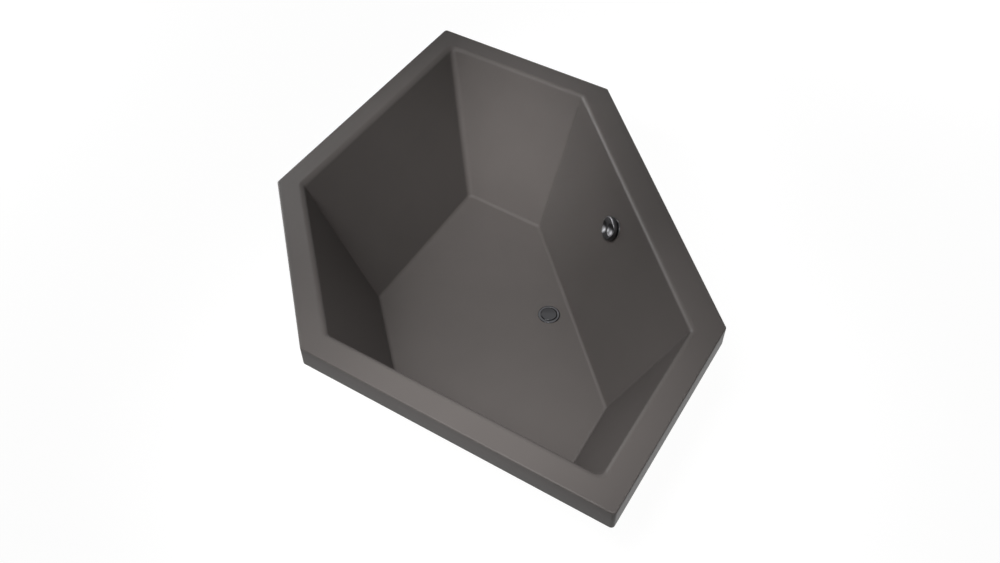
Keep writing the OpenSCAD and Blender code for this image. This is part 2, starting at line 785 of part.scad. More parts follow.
// End of the pull wire, with the barrel that draws the crank
module cable_end() {
    color(zinc_colour) waste_frame() translate([0, 0, wire_z]) {
        rotate([0, 90, 0]) rod(wire_r, barrel_x, sheath_from - wire_travel - 1);
        translate([barrel_x, 0, 0]) rotate([90, 0, 0]) rod(nipple_barrel_r, -3.5, 3.5);
    }
}

// Housing behind the basin wall, with the spout for the hose
module overflow_body() {
    color(plastic_colour) overflow_frame() difference() {
        union() {
            rod(box_r + 7, back_low - box_flange_t, back_low);
            rod(overflow_hole_r - 0.5, back_low - box_flange_t, -1);
            rod(box_r, box_low - box_wall, back_low - box_flange_t / 2);
            translate([0, 0, spout_z]) rotate([90, 0, 0]) rod(boss_r, spout_from, spout_boss_to);
            translate([0, 0, spout_z]) rotate([90, 0, 0]) rod(nipple_r, spout_from, spout_to);
            translate([upper_gland_x, 0, upper_gland_z]) rotate([90, 0, 0]) rod(gland_r, 19, upper_gland_to);
        }
        rod(tail_r + 1 + bore_gap, back_low - box_flange_t - eps, eps);
        difference() {
            rod(box_r - box_wall, box_low, back_low - box_flange_t);
            ring_of(hub_r, spindle_r + bore_gap, box_low - eps, box_low + 6);
        }
        translate([0, 0, spout_z]) rotate([90, 0, 0]) rod(nipple_bore_r, spout_from - 4, spout_to + eps);
        translate([upper_gland_x, 0, upper_gland_z]) rotate([90, 0, 0])
            rod(cable_d / 2 + seat_gap, upper_gland_from, upper_gland_to + eps);
    }
}
module overflow_seal() {
    color(rubber_colour) overflow_frame()
        ring_of(box_r + 6, overflow_hole_r - 0.4, back_low, -layers_t);
}
// Ring that clamps the housing to the wall and carries the knob's bearing
module overflow_ring() {
    ring_r = overflow_hole_r + 5;
    inner_r = tail_r - 1.5;
    bearing_top = knob_standoff - 3;
    arm_w = 3;
    color(chrome_colour) overflow_frame() difference() {
        union() {
            rotate_extrude() polygon([
                [inner_r, -10], [tail_r + 1, -10], [tail_r + 1, 0], [ring_r, 0], [ring_r, 1.4],
                [ring_r - 1.2, 2.6], [ring_r - 3, 3], [inner_r, 3]
            ]);
            rod(hub_r, -6, bearing_top);
            for (a = [30, 150, 270])
                rotate([0, 0, a]) translate([0, -arm_w / 2, -6]) cube([inner_r + 1, arm_w, 7]);
        }
        rod(spindle_r + bore_gap, -12, bearing_top + eps);
    }
}
// Turning knob with two scoops that leave a grip bar
module overflow_knob() {
    knob_r = knob_d / 2;
    top = knob_standoff + knob_t;
    scoop_r = 26;
    scoop_up = 15;
    scoop_x = 23.5;
    rim_wall = 3;
    face_wall = 4;
    color(chrome_colour) overflow_frame() difference() {
        rotate_extrude() polygon([
            [0, knob_standoff], [knob_r - 1, knob_standoff], [knob_r, knob_standoff + 1],
            [knob_r, top - 5], [knob_r - 0.8, top - 2.6], [knob_r - 2.6, top - 0.8],
            [knob_r - 5, top], [0, top]
        ]);
        for (side = [-1, 1])
            rotate([0, 0, grip_angle]) translate([side * scoop_x, 0, top + scoop_up]) sphere(r = scoop_r);
        difference() {
            rod(knob_r - rim_wall, knob_standoff - eps, knob_standoff + 2.5);
            rod(hub_r - 1, knob_standoff - 2 * eps, knob_standoff + 4);
        }
        rod(spindle_r + bore_gap, knob_standoff - eps, knob_standoff + 3.5);
    }
}
// Spindle that turns in the ring and the housing, with the cam for the wire
module knob_spindle() {
    cam_r = 12;
    cam_low = box_low + 7;
    pin_out = wire_travel / (2 * sin(knob_turn / 2));
    color(zinc_colour) overflow_frame() {
        rod(spindle_r, box_low + 0.5, knob_standoff + 3.5);
        rod(cam_r, cam_low, cam_low + 4);
        rotate([0, 0, knob_turn / 2]) translate([pin_out + spindle_r + 1, 0, 0])
            rod(1.2, cam_low + 3, cam_low + 8);
    }
}

// Ribbed hose from the overflow to the waste, along the wall and under the floor
hose_gap = 1;
hose_start = from_overflow([0, -(spout_boss_to + hose_gap), spout_z]);
hose_end_y = -waste_u + boss_to + hose_gap;
hose_end_z = basin_floor_z + inlet_z;
hose_turn = 90 - lean;
hose_drop = (hose_start[2] - hose_end_z) / cos(lean);
hose_cut = hose_bend_r * tan(hose_turn / 2);
hose_straight = hose_drop - hose_cut;
hose_bend_len = hose_bend_r * hose_turn * PI / 180;
hose_knee_y = hose_start[1] - hose_drop * sin(lean);
hose_len = hose_straight + hose_bend_len + (hose_knee_y - hose_cut - hose_end_y);
hose_ribs = floor(hose_len / hose_pitch);
hose_sides = 8;

// Place along the hose, as [y, z, heading]; the heading falls from hose_turn to 0
function hose_at(d) =
    d < hose_straight ?
        [hose_start[1] - d * sin(lean), hose_start[2] - d * cos(lean), hose_turn]
    : let (a = min(1, (d - hose_straight) / hose_bend_len),
           h = hose_turn * (1 - a),
           rest = max(0, d - hose_straight - hose_bend_len))
        [hose_start[1] - hose_straight * sin(lean) - hose_bend_r * (sin(hose_turn) - sin(h)) - rest,
         hose_start[2] - hose_straight * cos(lean) - hose_bend_r * (cos(h) - cos(hose_turn)),
         h];
function hose_ring(d, r) =
    let (p = hose_at(d))
        [for (i = [0:hose_sides - 1])
            let (a = i * 360 / hose_sides)
                [r * cos(a), p[0] + r * sin(a) * sin(p[2]), p[1] - r * sin(a) * cos(p[2])]];

module overflow_hose() {
    rings = [
        for (i = [0:2 * hose_ribs])
            hose_ring(i * hose_len / (2 * hose_ribs), (i % 2 == 0 ? hose_valley_d : hose_d) / 2)
    ];
    bore_steps = 24;
    bores = [for (i = [0:bore_steps]) hose_ring(i * hose_len / bore_steps, hose_bore_d / 2)];
    color(plastic_colour) middle_frame() tube_of(rings, bores);
}
// Open tube between two lists of rings
module tube_of(outer, inner) {
    n = len(outer[0]);
    m = len(outer);
    w = len(inner);
    base = m * n;
    function strip(at, count, flip) = [
        for (k = [0:count - 2], i = [0:n - 1])
            let (a = at + k * n + i, b = at + k * n + (i + 1) % n)
                each flip ? [[a, b + n, a + n], [a, b, b + n]] : [[a, a + n, b + n], [a, b + n, b]]
    ];
    function mouth(p, q, flip) = [
        for (i = [0:n - 1])
            let (j = (i + 1) % n)
                each flip ? [[p + i, q + j, q + i], [p + i, p + j, q + j]]
                          : [[p + i, q + i, q + j], [p + i, q + j, p + j]]
    ];
    polyhedron(
        concat([for (r = outer) each r], [for (r = inner) each r]),
        concat(strip(0, m, false), strip(base, w, true),
               mouth(0, base, true), mouth((m - 1) * n, base + (w - 1) * n, false))
    );
}

module hose_collar() {
    ribs = 12;
    rib_r = 1.2;
    collar_r = hose_d / 2 + collar_wall;
    difference() {
        union() {
            rod(collar_r, 0, collar_len);
            for (i = [0:ribs - 1])
                rotate([0, 0, i * 360 / ribs]) translate([collar_r, 0, 0]) rod(rib_r, 1, collar_len - 1);
        }
        rod(hose_d / 2 + seat_gap, -eps, collar_len + eps);
    }
}
module hose_collar_upper() {
    color(dark_plastic_colour) overflow_frame() translate([0, 0, spout_z]) rotate([90, 0, 0])
        translate([0, 0, spout_boss_to]) hose_collar();
}
module hose_collar_lower() {
    color(dark_plastic_colour) waste_frame() translate([0, 0, inlet_z]) rotate([-90, 0, 0])
        translate([0, 0, boss_to]) hose_collar();
}

// Pull cable beside the hose, from the overflow's gland to the waste's gland
cable_r = cable_d / 2;
cable_top = from_overflow([upper_gland_x, -(upper_gland_from + 1), upper_gland_z]);
cable_top_out = from_overflow([upper_gland_x, -(upper_gland_to + 24), upper_gland_z]);
cable_wall_mid = from_overflow([upper_gland_x + 2, -200, spout_z]);
cable_wall_low = from_overflow([upper_gland_x + 5, -330, spout_z]);
cable_low_y = -waste_u;
cable_low_z = basin_floor_z + wire_z;
cable_points = [
    cable_top, cable_top_out, cable_wall_mid, cable_wall_low,
    [34, cable_low_y + 90, cable_low_z - 8], [58, cable_low_y + 62, cable_low_z - 14],
    [80, cable_low_y + 36, cable_low_z - 14], [77, cable_low_y + 10, cable_low_z - 9],
    [62, cable_low_y + 1, cable_low_z - 3], [50, cable_low_y, cable_low_z],
    [sheath_from, cable_low_y, cable_low_z]
];
cable_steps = 5;
cable_sides = 8;

function unit(v) = v / norm(v);
// Smooth curve through the points; w runs from 0 to 1 between points i and i + 1
function curve_at(pts, i, w) =
    let (p1 = pts[i], p2 = pts[i + 1],
         p0 = i > 0 ? pts[i - 1] : 2 * p1 - p2,
         p3 = i + 2 < len(pts) ? pts[i + 2] : 2 * p2 - p1)
        0.5 * (2 * p1 + (p2 - p0) * w + (2 * p0 - 5 * p1 + 4 * p2 - p3) * w * w
               + (3 * p1 - p0 - 3 * p2 + p3) * w * w * w);
cable_path = concat(
    [for (i = [0:len(cable_points) - 2], j = [0:cable_steps - 1]) curve_at(cable_points, i, j / cable_steps)],
    [cable_points[len(cable_points) - 1]]
);
function cable_heading(i) =
    unit(cable_path[min(i + 1, len(cable_path) - 1)] - cable_path[max(i - 1, 0)]);

module pull_cable() {
    // A fixed direction that no stretch of the cable runs along
    aside = unit([0.35, 0.8, -0.5]);
    rings = [
        for (i = [0:len(cable_path) - 1])
            let (t = cable_heading(i), u = unit(cross(t, aside)), v = cross(t, u))
                [for (k = [0:cable_sides - 1])
                    let (a = k * 360 / cable_sides)
                        cable_path[i] + cable_r * (u * cos(a) + v * sin(a))]
    ];
    color(rubber_colour) middle_frame() loft(rings);
}

tub_shell();
fibre_backing();
base_board();
batten_wall_left();
batten_back();
batten_wall_right();
batten_end_right();
batten_front();
batten_end_left();
long_rail_left();
long_rail_right();
cross_rail_middle();
cross_arm_left();
cross_arm_right();
rail_screws();
foot_bushes();
for (i = [0:5]) {
    foot_screw(i);
    foot_pad(i);
}
waste_flange();
waste_top_seal();
waste_bottom_seal();
waste_body();
trap_cup();
trap_cup_seal();
outlet_pipe();
outlet_nut();
outlet_seal();
plug_cap();
plug_seal();
plug_stem();
lift_crank();
crank_pin();
cable_end();
overflow_body();
overflow_seal();
overflow_ring();
overflow_knob();
knob_spindle();
overflow_hose();
hose_collar_upper();
hose_collar_lower();
pull_cable();
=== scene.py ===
import bpy
import bmesh
import json
from contextlib import contextmanager
from math import atan, cos, floor, hypot, pi, radians, sin, sqrt, tan
from mathutils import Matrix, Vector
from mathutils import noise as waviness


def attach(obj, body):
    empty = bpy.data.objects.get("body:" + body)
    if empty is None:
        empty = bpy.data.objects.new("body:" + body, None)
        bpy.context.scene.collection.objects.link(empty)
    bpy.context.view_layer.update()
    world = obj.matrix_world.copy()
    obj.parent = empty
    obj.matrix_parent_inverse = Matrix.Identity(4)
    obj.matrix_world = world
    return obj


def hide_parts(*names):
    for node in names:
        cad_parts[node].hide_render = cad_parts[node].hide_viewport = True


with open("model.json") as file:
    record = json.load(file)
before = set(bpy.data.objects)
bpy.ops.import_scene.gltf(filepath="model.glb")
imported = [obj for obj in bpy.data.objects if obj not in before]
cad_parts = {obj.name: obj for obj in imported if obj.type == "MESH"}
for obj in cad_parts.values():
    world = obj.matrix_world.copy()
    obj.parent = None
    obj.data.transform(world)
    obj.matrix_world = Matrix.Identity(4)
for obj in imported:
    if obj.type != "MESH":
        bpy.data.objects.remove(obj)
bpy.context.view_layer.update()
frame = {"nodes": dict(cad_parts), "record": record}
cad = frame["nodes"]
bodies = frame["record"]["behaviour"]["bodies"]
bodyOf = {node: body for body, members in bodies.items() for node in members}
slotOf = {part["node"]: part["material_slot"] for part in frame["record"]["subparts"]}
print("frame loaded:", len(cad), "nodes")

# The tub's own sizes, in metres. The plan is a square with one corner cut at the front and one at the back.
tub = {
    "overall": 1.5, "frontCut": 0.8, "backCut": 0.5, "cornerRound": 0.011,
    "rimHeight": 0.66, "rim": 0.08, "rimFront": 0.1, "lipHeight": 0.074,
    "rolledEdge": 0.021, "lipEdge": 0.004, "depth": 0.512, "crease": 0.02, "floorFillet": 0.015,
    "floorWall": 0.2765, "floorWallBack": 0.2855, "floorEnd": 0.2815, "floorEndFront": 0.291,
    "floorFront": 0.2765, "floorBack": 0.27, "sheet": 0.005, "backing": 0.004,
}
# Outward directions of left wall, back, right wall, right end, front and left end
sideAngle = [radians(a) for a in (180, 225, 270, 0, 45, 90)]
halfWidth = tub["overall"] / 2
frontDistance = (tub["overall"] - tub["frontCut"]) / sqrt(2)
backDistance = (tub["overall"] - tub["backCut"]) / sqrt(2)
sideDistance = [halfWidth, backDistance, halfWidth, halfWidth, frontDistance, halfWidth]
frontMiddle = (tub["overall"] - tub["frontCut"]) / 2
basinFloor = tub["rimHeight"] - tub["depth"]
layers = tub["sheet"] + tub["backing"]
meanFloorIn = (tub["floorWall"] + tub["floorEnd"]) / 2

# Insets of rim and floor at each corner, from the side before it and the side after it
rimIn = [(tub["rim"], tub["rim"])] * 4 + [(tub["rim"], tub["rimFront"]), (tub["rimFront"], tub["rim"])]
floorIn = [
    (tub["floorEnd"], tub["floorWall"]), (tub["floorWallBack"], tub["floorBack"]),
    (tub["floorBack"], tub["floorWallBack"]), (tub["floorWall"], tub["floorEnd"]),
    (tub["floorEndFront"], tub["floorFront"]), (tub["floorFront"], tub["floorEndFront"]),
]

# Frames of the fittings: x along the front side, y out of the tub, and at the overflow z into the basin
waste = {"fromFront": 0.355, "hole": 0.026}
overflow = {"depth": 0.124, "hole": 0.026}
frontSlope = (tub["floorFront"] - tub["rimFront"]) / tub["depth"]
lean = atan(frontSlope)
overflow["out"] = -(tub["rimFront"] + frontSlope * overflow["depth"])
overflow["height"] = tub["rimHeight"] - overflow["depth"]
middleFrame = Matrix.Translation((frontMiddle, frontMiddle, 0)) @ Matrix.Rotation(radians(-45), 4, "Z")
wasteFrame = middleFrame @ Matrix.Translation((0, -waste["fromFront"], basinFloor))
overflowFrame = (
    middleFrame @ Matrix.Translation((0, overflow["out"], overflow["height"]))
    @ Matrix.Rotation(pi / 2 - lean, 4, "X")
)


def sideways(start, depth, turn):
    # A frame whose z axis leaves the start's own axis at a right angle
    return start @ Matrix.Translation((0, 0, depth)) @ Matrix.Rotation(turn, 4, "X")


# Node helpers, for the materials and the Geometry Nodes trees.
# A new node goes into the tree of its first input, and a node given as a value stands for its first output.

def give(socket, value):
    if isinstance(value, bpy.types.Node):
        value = value.outputs[0]
    if isinstance(value, bpy.types.NodeSocket):
        socket.id_data.links.new(value, socket)
    else:
        socket.default_value = value


def feed(node, **values):
    # Named inputs of a node get a value or a link
    for label, value in values.items():
        give(node.inputs[label.replace("_", " ")], value)
    return node


def added(tree, kind, **values):
    return feed(tree.nodes.new(kind), **values)


def calculate(operation, *values):
    tree = next(value for value in values if isinstance(value, bpy.types.bpy_struct)).id_data
    node = tree.nodes.new("ShaderNodeMath")
    node.operation = operation
    for socket, value in zip(node.inputs, values):
        give(socket, value)
    return node


# Materials: each is a node tree on Object coordinates

def newMaterial(name, colour, roughness, **more):
    material = bpy.data.materials.new(name)
    material.use_nodes = True
    shader = material.node_tree.nodes["Principled BSDF"]
    return material, feed(shader, Base_Color=(*colour, 1), Roughness=roughness, **more)


def mapped(material, scale=(1, 1, 1), turn=(0, 0, 0)):
    tree = material.node_tree
    where = tree.nodes.new("ShaderNodeTexCoord").outputs["Object"]
    return added(tree, "ShaderNodeMapping", Vector=where, Scale=scale, Rotation=turn)


def noise(vector, scale, detail=3.0, roughness=0.5, distortion=0.0):
    return added(vector.id_data, "ShaderNodeTexNoise", Vector=vector, Scale=scale, Detail=detail,
                 Roughness=roughness, Distortion=distortion)


def cells(vector, scale):
    return added(vector.id_data, "ShaderNodeTexVoronoi", Vector=vector, Scale=scale).outputs["Color"]


def ramp(value, *stops):
    node = added(value.id_data, "ShaderNodeValToRGB", Fac=value)
    points = node.color_ramp.elements
    while len(points) < len(stops):
        points.new(0.5)
    for point, (place, colour) in zip(points, stops):
        point.position = place
        point.color = (*colour, 1)
    return node


def spread(value, low, high):
    return added(value.id_data, "ShaderNodeMapRange", Value=value, To_Min=low, To_Max=high)


def relief(shader, height, depth, strength):
    bump = added(height.id_data, "ShaderNodeBump", Height=height, Distance=depth, Strength=strength)
    feed(shader, Normal=bump)


def blendOf(a, b, share, kind="MIX"):
    # A mix node has a set of sockets for each kind of data; 6, 7 and 2 are those for colours
    node = a.id_data.nodes.new("ShaderNodeMix")
    node.data_type = "RGBA"
    node.blend_type = kind
    for number, value in ((6, a), (7, b), (0, share)):
        give(node.inputs[number], value)
    return node.outputs[2]


def shaded(colour, share):
    return tuple(c * share for c in colour)


def satinAcrylic():
    # Anthracite sheet: broad soft sheen, a trace of unevenness from the forming and fine moulded grain
    colour = (0.075, 0.068, 0.065)
    material, shader = newMaterial("satin_acrylic", colour, 0.4, Specular_IOR_Level=0.1)
    place = mapped(material)
    soft = noise(place, 7.0, 2.0)
    feed(shader, Base_Color=ramp(soft, (0.3, shaded(colour, 0.98)), (0.7, shaded(colour, 1.02))),
         Roughness=spread(soft, 0.38, 0.42))
    relief(shader, noise(place, 1400.0, 2.0), 0.00001, 0.3)
    return material


def glassFibre():
    # Sprayed strands under a cream resin, with the roller's waves
    material, shader = newMaterial("glass_fibre", (0.6, 0.54, 0.38), 0.5, Coat_Weight=0.15,
                                   Coat_Roughness=0.3)
    strandsA = noise(mapped(material, (1, 9, 3), (0.2, 0.4, 0.6)), 60.0, 4.0, 0.6, 0.6)
    strandsB = noise(mapped(material, (9, 1, 3), (0.5, 0.1, 1.1)), 60.0, 4.0, 0.6, 0.6)
    strands = blendOf(strandsA, strandsB, 0.5, "LIGHTEN")
    cloud = noise(mapped(material), 9.0, 4.0)
    resin = ramp(cloud, (0.3, (0.50, 0.43, 0.27)), (0.7, (0.66, 0.60, 0.44)))
    fibres = ramp(strands, (0.52, (0, 0, 0)), (0.66, (1, 1, 1)))
    feed(shader, Base_Color=blendOf(resin, (0.80, 0.76, 0.62, 1), fibres),
         Roughness=spread(cloud, 0.38, 0.62))
    relief(shader, strands, 0.0008, 0.7)
    return material


def chipboard():
    material, shader = newMaterial("chipboard", (0.5, 0.36, 0.22), 0.8, Specular_IOR_Level=0.2)
    place = mapped(material, (1, 1, 1.6))
    chips = cells(place, 230.0)
    wood = ramp(chips, (0.1, (0.30, 0.19, 0.10)), (0.45, (0.50, 0.36, 0.21)), (0.9, (0.66, 0.52, 0.35)))
    fine = ramp(cells(place, 620.0), (0.2, (0.34, 0.22, 0.12)), (0.8, (0.62, 0.48, 0.31)))
    dust = ramp(noise(place, 35.0), (0.3, (0.86, 0.86, 0.86)), (0.7, (1, 1, 1)))
    feed(shader, Base_Color=blendOf(blendOf(wood, fine, 0.4), dust, 1.0, "MULTIPLY"))
    relief(shader, chips, 0.0002, 0.5)
    return material


def softwood(name, along):
    # Growth rings stretched along the batten, with finer fibres between them
    material, shader = newMaterial(name, (0.6, 0.44, 0.26), 0.62, Specular_IOR_Level=0.3)
    turn = (0, 0, -along)
    rings = noise(mapped(material, (1.2, 26, 26), turn), 3.4, 2.0, 0.5, 0.8)
    fibres = noise(mapped(material, (4, 260, 260), turn), 5.0, 4.0, 0.65)
    grain = ramp(rings, (0.36, (0.66, 0.50, 0.31)), (0.5, (0.56, 0.39, 0.21)), (0.58, (0.68, 0.53, 0.34)))
    streak = ramp(fibres, (0.3, (0.84, 0.80, 0.74)), (0.65, (1, 1, 1)))
    feed(shader, Base_Color=blendOf(grain, streak, 1.0, "MULTIPLY"))
    relief(shader, fibres, 0.00025, 0.5)
    return material


def zincTube():
    # Galvanised tube: pale spangle and drawn streaks
    material, shader = newMaterial("zinc_tube", (0.56, 0.58, 0.6), 0.42, Metallic=1.0)
    spangle = cells(mapped(material), 95.0)
    streaks = noise(mapped(material, (60, 60, 4), (0, 0, radians(45))), 8.0)
    feed(shader, Base_Color=ramp(spangle, (0.2, (0.48, 0.50, 0.52)), (0.8, (0.66, 0.68, 0.70))),
         Roughness=spread(streaks, 0.32, 0.52))
    return material


def brightZinc():
    material, shader = newMaterial("bright_zinc", (0.66, 0.67, 0.7), 0.3, Metallic=1.0)
    wear = noise(mapped(material), 240.0, 4.0)
    feed(shader, Base_Color=ramp(wear, (0.35, (0.55, 0.56, 0.58)), (0.65, (0.74, 0.75, 0.77))),
         Roughness=spread(wear, 0.22, 0.4))
    return material


def chromePlate(name, shade, haze):
    # Dark polished plate: faint haze from wiping, no scratches deep enough to see
    material, shader = newMaterial(name, (shade, shade, shade * 1.05), haze, Metallic=1.0)
    smear = noise(mapped(material, (1, 1, 3)), 18.0)
    feed(shader, Roughness=spread(smear, haze * 0.6, haze * 1.4))
    return material


def sealRubber():
    material, shader = newMaterial("seal_rubber", (0.012, 0.012, 0.012), 0.72, Specular_IOR_Level=0.3)
    bloom = noise(mapped(material), 180.0, 4.0)
    feed(shader, Base_Color=ramp(bloom, (0.35, (0.010, 0.010, 0.010)), (0.7, (0.022, 0.022, 0.021))))
    relief(shader, bloom, 0.0001, 0.4)
    return material


def cableCover():
    material, shader = newMaterial("cable_cover", (0.014, 0.014, 0.016), 0.36)
    feed(shader, Roughness=spread(noise(mapped(material), 60.0), 0.3, 0.44))
    return material


def mouldedPlastic(name, colour, roughness, grainDepth):
    material, shader = newMaterial(name, colour, roughness, Specular_IOR_Level=0.45)
    place = mapped(material)
    cloud = noise(place, 30.0)
    feed(shader, Base_Color=ramp(cloud, (0.3, shaded(colour, 0.93)), (0.7, colour)),
         Roughness=spread(cloud, roughness - 0.05, roughness + 0.05))
    relief(shader, noise(place, 1700.0, 2.0), grainDepth, 0.5)
    return material


finish = {
    "acrylic": satinAcrylic(), "fibre": glassFibre(), "board": chipboard(), "steel": zincTube(),
    "zinc": brightZinc(), "chrome": chromePlate("chrome_plate", 0.06, 0.08), "seal_rubber": sealRubber(),
    "cable_cover": cableCover(),
    "dark_plastic": mouldedPlastic("dark_plastic", (0.022, 0.022, 0.024), 0.48, 0.00006),
    "white_plastic": mouldedPlastic("white_plastic", (0.72, 0.72, 0.69), 0.36, 0.00003),
    "timber": softwood("softwood", 0.0),
}
# Each plated piece has its own copy of the plate. Its tone is painted a little lighter or darker as light
# and shade, and it has its own haze
knobPlate = chromePlate("knob_plate", 0.09, 0.4)
shadedPlateOf = {
    "overflow_knob": knobPlate, "overflow_ring": knobPlate,
    "waste_flange": chromePlate("flange_plate", 0.08, 0.12),
    # Painted shade: the cap's plate is darker than the flange's, and the knob's plate is lighter than the
    # plain chrome
    "plug_cap": chromePlate("cap_plate", 0.05, 0.1),
}
print("finishes made:", len(finish))


# Mesh helpers: lengths in metres, angles in degrees

meshing = {
    "weld": 1e-6, "cadWeld": 2e-6, "onAxis": 1e-6, "flatTo": 0.4, "easedFrom": 40, "straightFrom": 172,
}


def newObject(name, data):
    piece = bpy.data.objects.new(name, data)
    bpy.context.scene.collection.objects.link(piece)
    return piece


def meshObject(name, points, faces, edges=()):
    mesh = bpy.data.meshes.new(name)
    mesh.from_pydata([tuple(p) for p in points], edges, faces)
    mesh.validate()
    return newObject(name, mesh)


def applyModifiers(piece):
    bpy.context.view_layer.update()
    evaluated = piece.evaluated_get(bpy.context.evaluated_depsgraph_get())
    mesh = bpy.data.meshes.new_from_object(evaluated)
    mesh.name = piece.data.name
    piece.modifiers.clear()
    piece.data = mesh


@contextmanager
def editing(piece):
    shape = bmesh.new()
    shape.from_mesh(piece.data)
    yield shape
    shape.to_mesh(piece.data)
    shape.free()


def outward(piece):
    with editing(piece) as shape:
        bmesh.ops.remove_doubles(shape, verts=shape.verts, dist=meshing["weld"])
        bmesh.ops.recalc_face_normals(shape, faces=shape.faces)


def finishPiece(piece, node, sharp, material=None):
    # Edges sharper than the angle stay edges, and the rest shades smooth
    piece.data.polygons.foreach_set("use_smooth", [True] * len(piece.data.polygons))
    piece.data.set_sharp_from_angle(angle=radians(sharp))
    piece.data.materials.clear()
    piece.data.materials.append(material or shadedPlateOf.get(node) or finish[slotOf[node]])
    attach(piece, bodyOf[node])
    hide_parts(node)


def easeEdges(piece, width, segments):
    bevel = piece.modifiers.new("eased edges", "BEVEL")
    bevel.width = width
    bevel.segments = segments
    bevel.limit_method = "ANGLE"
    bevel.angle_limit = radians(meshing["easedFrom"])
    bevel.use_clamp_overlap = False
    applyModifiers(piece)


def eased(node, name, width, segments=2):
    # A copy of a CAD node with its sharp edges eased, as a moulded or pressed piece has them
    piece = newObject(name, cad[node].data.copy())
    piece.data.name = name
    with editing(piece) as shape:
        bmesh.ops.remove_doubles(shape, verts=shape.verts, dist=meshing["cadWeld"])
        bmesh.ops.dissolve_limit(shape, angle_limit=radians(meshing["flatTo"]), verts=shape.verts,
                                 edges=shape.edges, use_dissolve_boundaries=False)
    easeEdges(piece, width, segments)
    finishPiece(piece, node, 35)


def lathe(name, profile, place, turns=96):
    # A closed outline turned about its own z axis; points with no radius become one pole
    points, rings, faces = [], [], []
    for radius, height in profile:
        if radius < meshing["onAxis"]:
            rings.append([len(points)])
            points.append(place @ Vector((0, 0, height)))
            continue
        rings.append([len(points) + i for i in range(turns)])
        for i in range(turns):
            a = 2 * pi * i / turns
            points.append(place @ Vector((radius * cos(a), radius * sin(a), height)))
    count = len(rings) - (profile[0][0] < meshing["onAxis"])
    for k in range(count):
        low, high = rings[k], rings[(k + 1) % len(rings)]
        if len(low) == 1 and len(high) == 1:
            continue
        for i in range(turns):
            j = (i + 1) % turns
            if len(low) == 1:
                faces.append((low[0], high[j], high[i]))
            elif len(high) == 1:
                faces.append((low[i], low[j], high[0]))
            else:
                faces.append((low[i], low[j], high[j], high[i]))
    piece = meshObject(name, points, faces)
    outward(piece)
    return piece


def rounded(outline, radius, steps=4):
    # The outline with each corner rounded, as far as its two sides allow.
    # One that starts on the axis is open.
    made = []
    count = len(outline)
    opened = outline[0][0] < meshing["onAxis"]
    for i, here in enumerate(outline):
        here = Vector(here)
        if opened and i in (0, count - 1):
            made.append(here)
            continue
        before, after = Vector(outline[i - 1]), Vector(outline[(i + 1) % count])
        toBefore, toAfter = before - here, after - here
        turn = toBefore.angle(toAfter)
        if turn > radians(meshing["straightFrom"]):
            made.append(here)
            continue
        reach = min(radius / tan(turn / 2), 0.45 * toBefore.length, 0.45 * toAfter.length)
        start, end = here + toBefore.normalized() * reach, here + toAfter.normalized() * reach
        for s in range(steps + 1):
            t = s / steps
            made.append(start * (1 - t) ** 2 + here * 2 * t * (1 - t) + end * t ** 2)
    return made


def turned(name, outline, edge, place=Matrix(), turns=96, steps=4):
    return lathe(name, rounded(outline, edge, steps), place, turns)


def combine(piece, operation, others):
    # Cuts the others out of the piece, or joins them to it
    for other in others:
        step = piece.modifiers.new("combine", "BOOLEAN")
        step.operation = operation
        step.solver = "EXACT"
        step.object = other
    applyModifiers(piece)
    for other in others:
        bpy.data.objects.remove(other)


# Acrylic sheet and its fibre backing.
# A hold is a ring beside a round, which keeps the flat next to it flat.

sheetForm = {
    "hold": 0.004, "lipHold": 0.003, "cornerHold": 0.001, "rimRound": 0.012, "turnedEdge": 0.0006,
}
laminate = {
    "gap": 0.0003, "rise": 0.0011, "broadWaves": 45, "smallWaves": 160, "pressed": 0.004, "fade": 0.02,
}


def planCorner(j, inBefore, inAfter):
    a, b = sideAngle[j - 1], sideAngle[j]
    da, db = sideDistance[j - 1] - inBefore, sideDistance[j] - inAfter
    across = sin(b - a)
    return Vector(((da * sin(b) - db * sin(a)) / across,
                   (db * cos(a) - da * cos(b)) / across, 0))


def planRing(insets, radius, z, steps=8, hold=0.003, stretch=1):
    # Six round corners, each with a point held just before and after it so that flat sides shade flat
    corners = []
    for j in range(6):
        middle = planCorner(j, insets[j][0] + radius, insets[j][1] + radius) + Vector((0, 0, z))
        first = sideAngle[j - 1]
        turn = (sideAngle[j] - first) % (2 * pi)
        last = first + turn
        arc = [middle + radius * Vector((cos(a), sin(a), 0))
               for a in (first + turn * i / steps for i in range(steps + 1))]
        before = arc[0] + hold * Vector((sin(first), -cos(first), 0))
        after = arc[-1] + hold * Vector((-sin(last), cos(last), 0))
        corners.append([before, *arc, after])
    made = []
    for j in range(6):
        made += corners[j]
        end, start = corners[j][-1], corners[(j + 1) % 6][0]
        made += [end.lerp(start, k / stretch) for k in range(1, stretch)]
    return made


def wallIn(topIn, lowIn, depth, behind):
    # Inset of the basin wall at a depth: rolled edge, straight wall, fillet at the floor
    k = (lowIn - topIn) / tub["depth"]
    q = sqrt(1 + k * k)
    edge, foot = tub["rolledEdge"], tub["floorFillet"]
    edgeMiddle = topIn + k * edge - edge * q
    footDepth = tub["depth"] - foot
    footMiddle = topIn + k * footDepth + foot * q
    edgeRadius, footRadius = edge - behind, foot + behind
    if depth < edge - edgeRadius * k / q:
        return edgeMiddle + sqrt(max(0, edgeRadius ** 2 - (edge - depth) ** 2))
    if depth > footDepth + footRadius * k / q:
        return footMiddle - sqrt(max(0, footRadius ** 2 - (depth - footDepth) ** 2))
    return topIn - behind * q + k * depth


def wallInsets(depth, behind):
    return [tuple(wallIn(rimIn[j][i], floorIn[j][i], depth, behind) for i in (0, 1)) for j in range(6)]


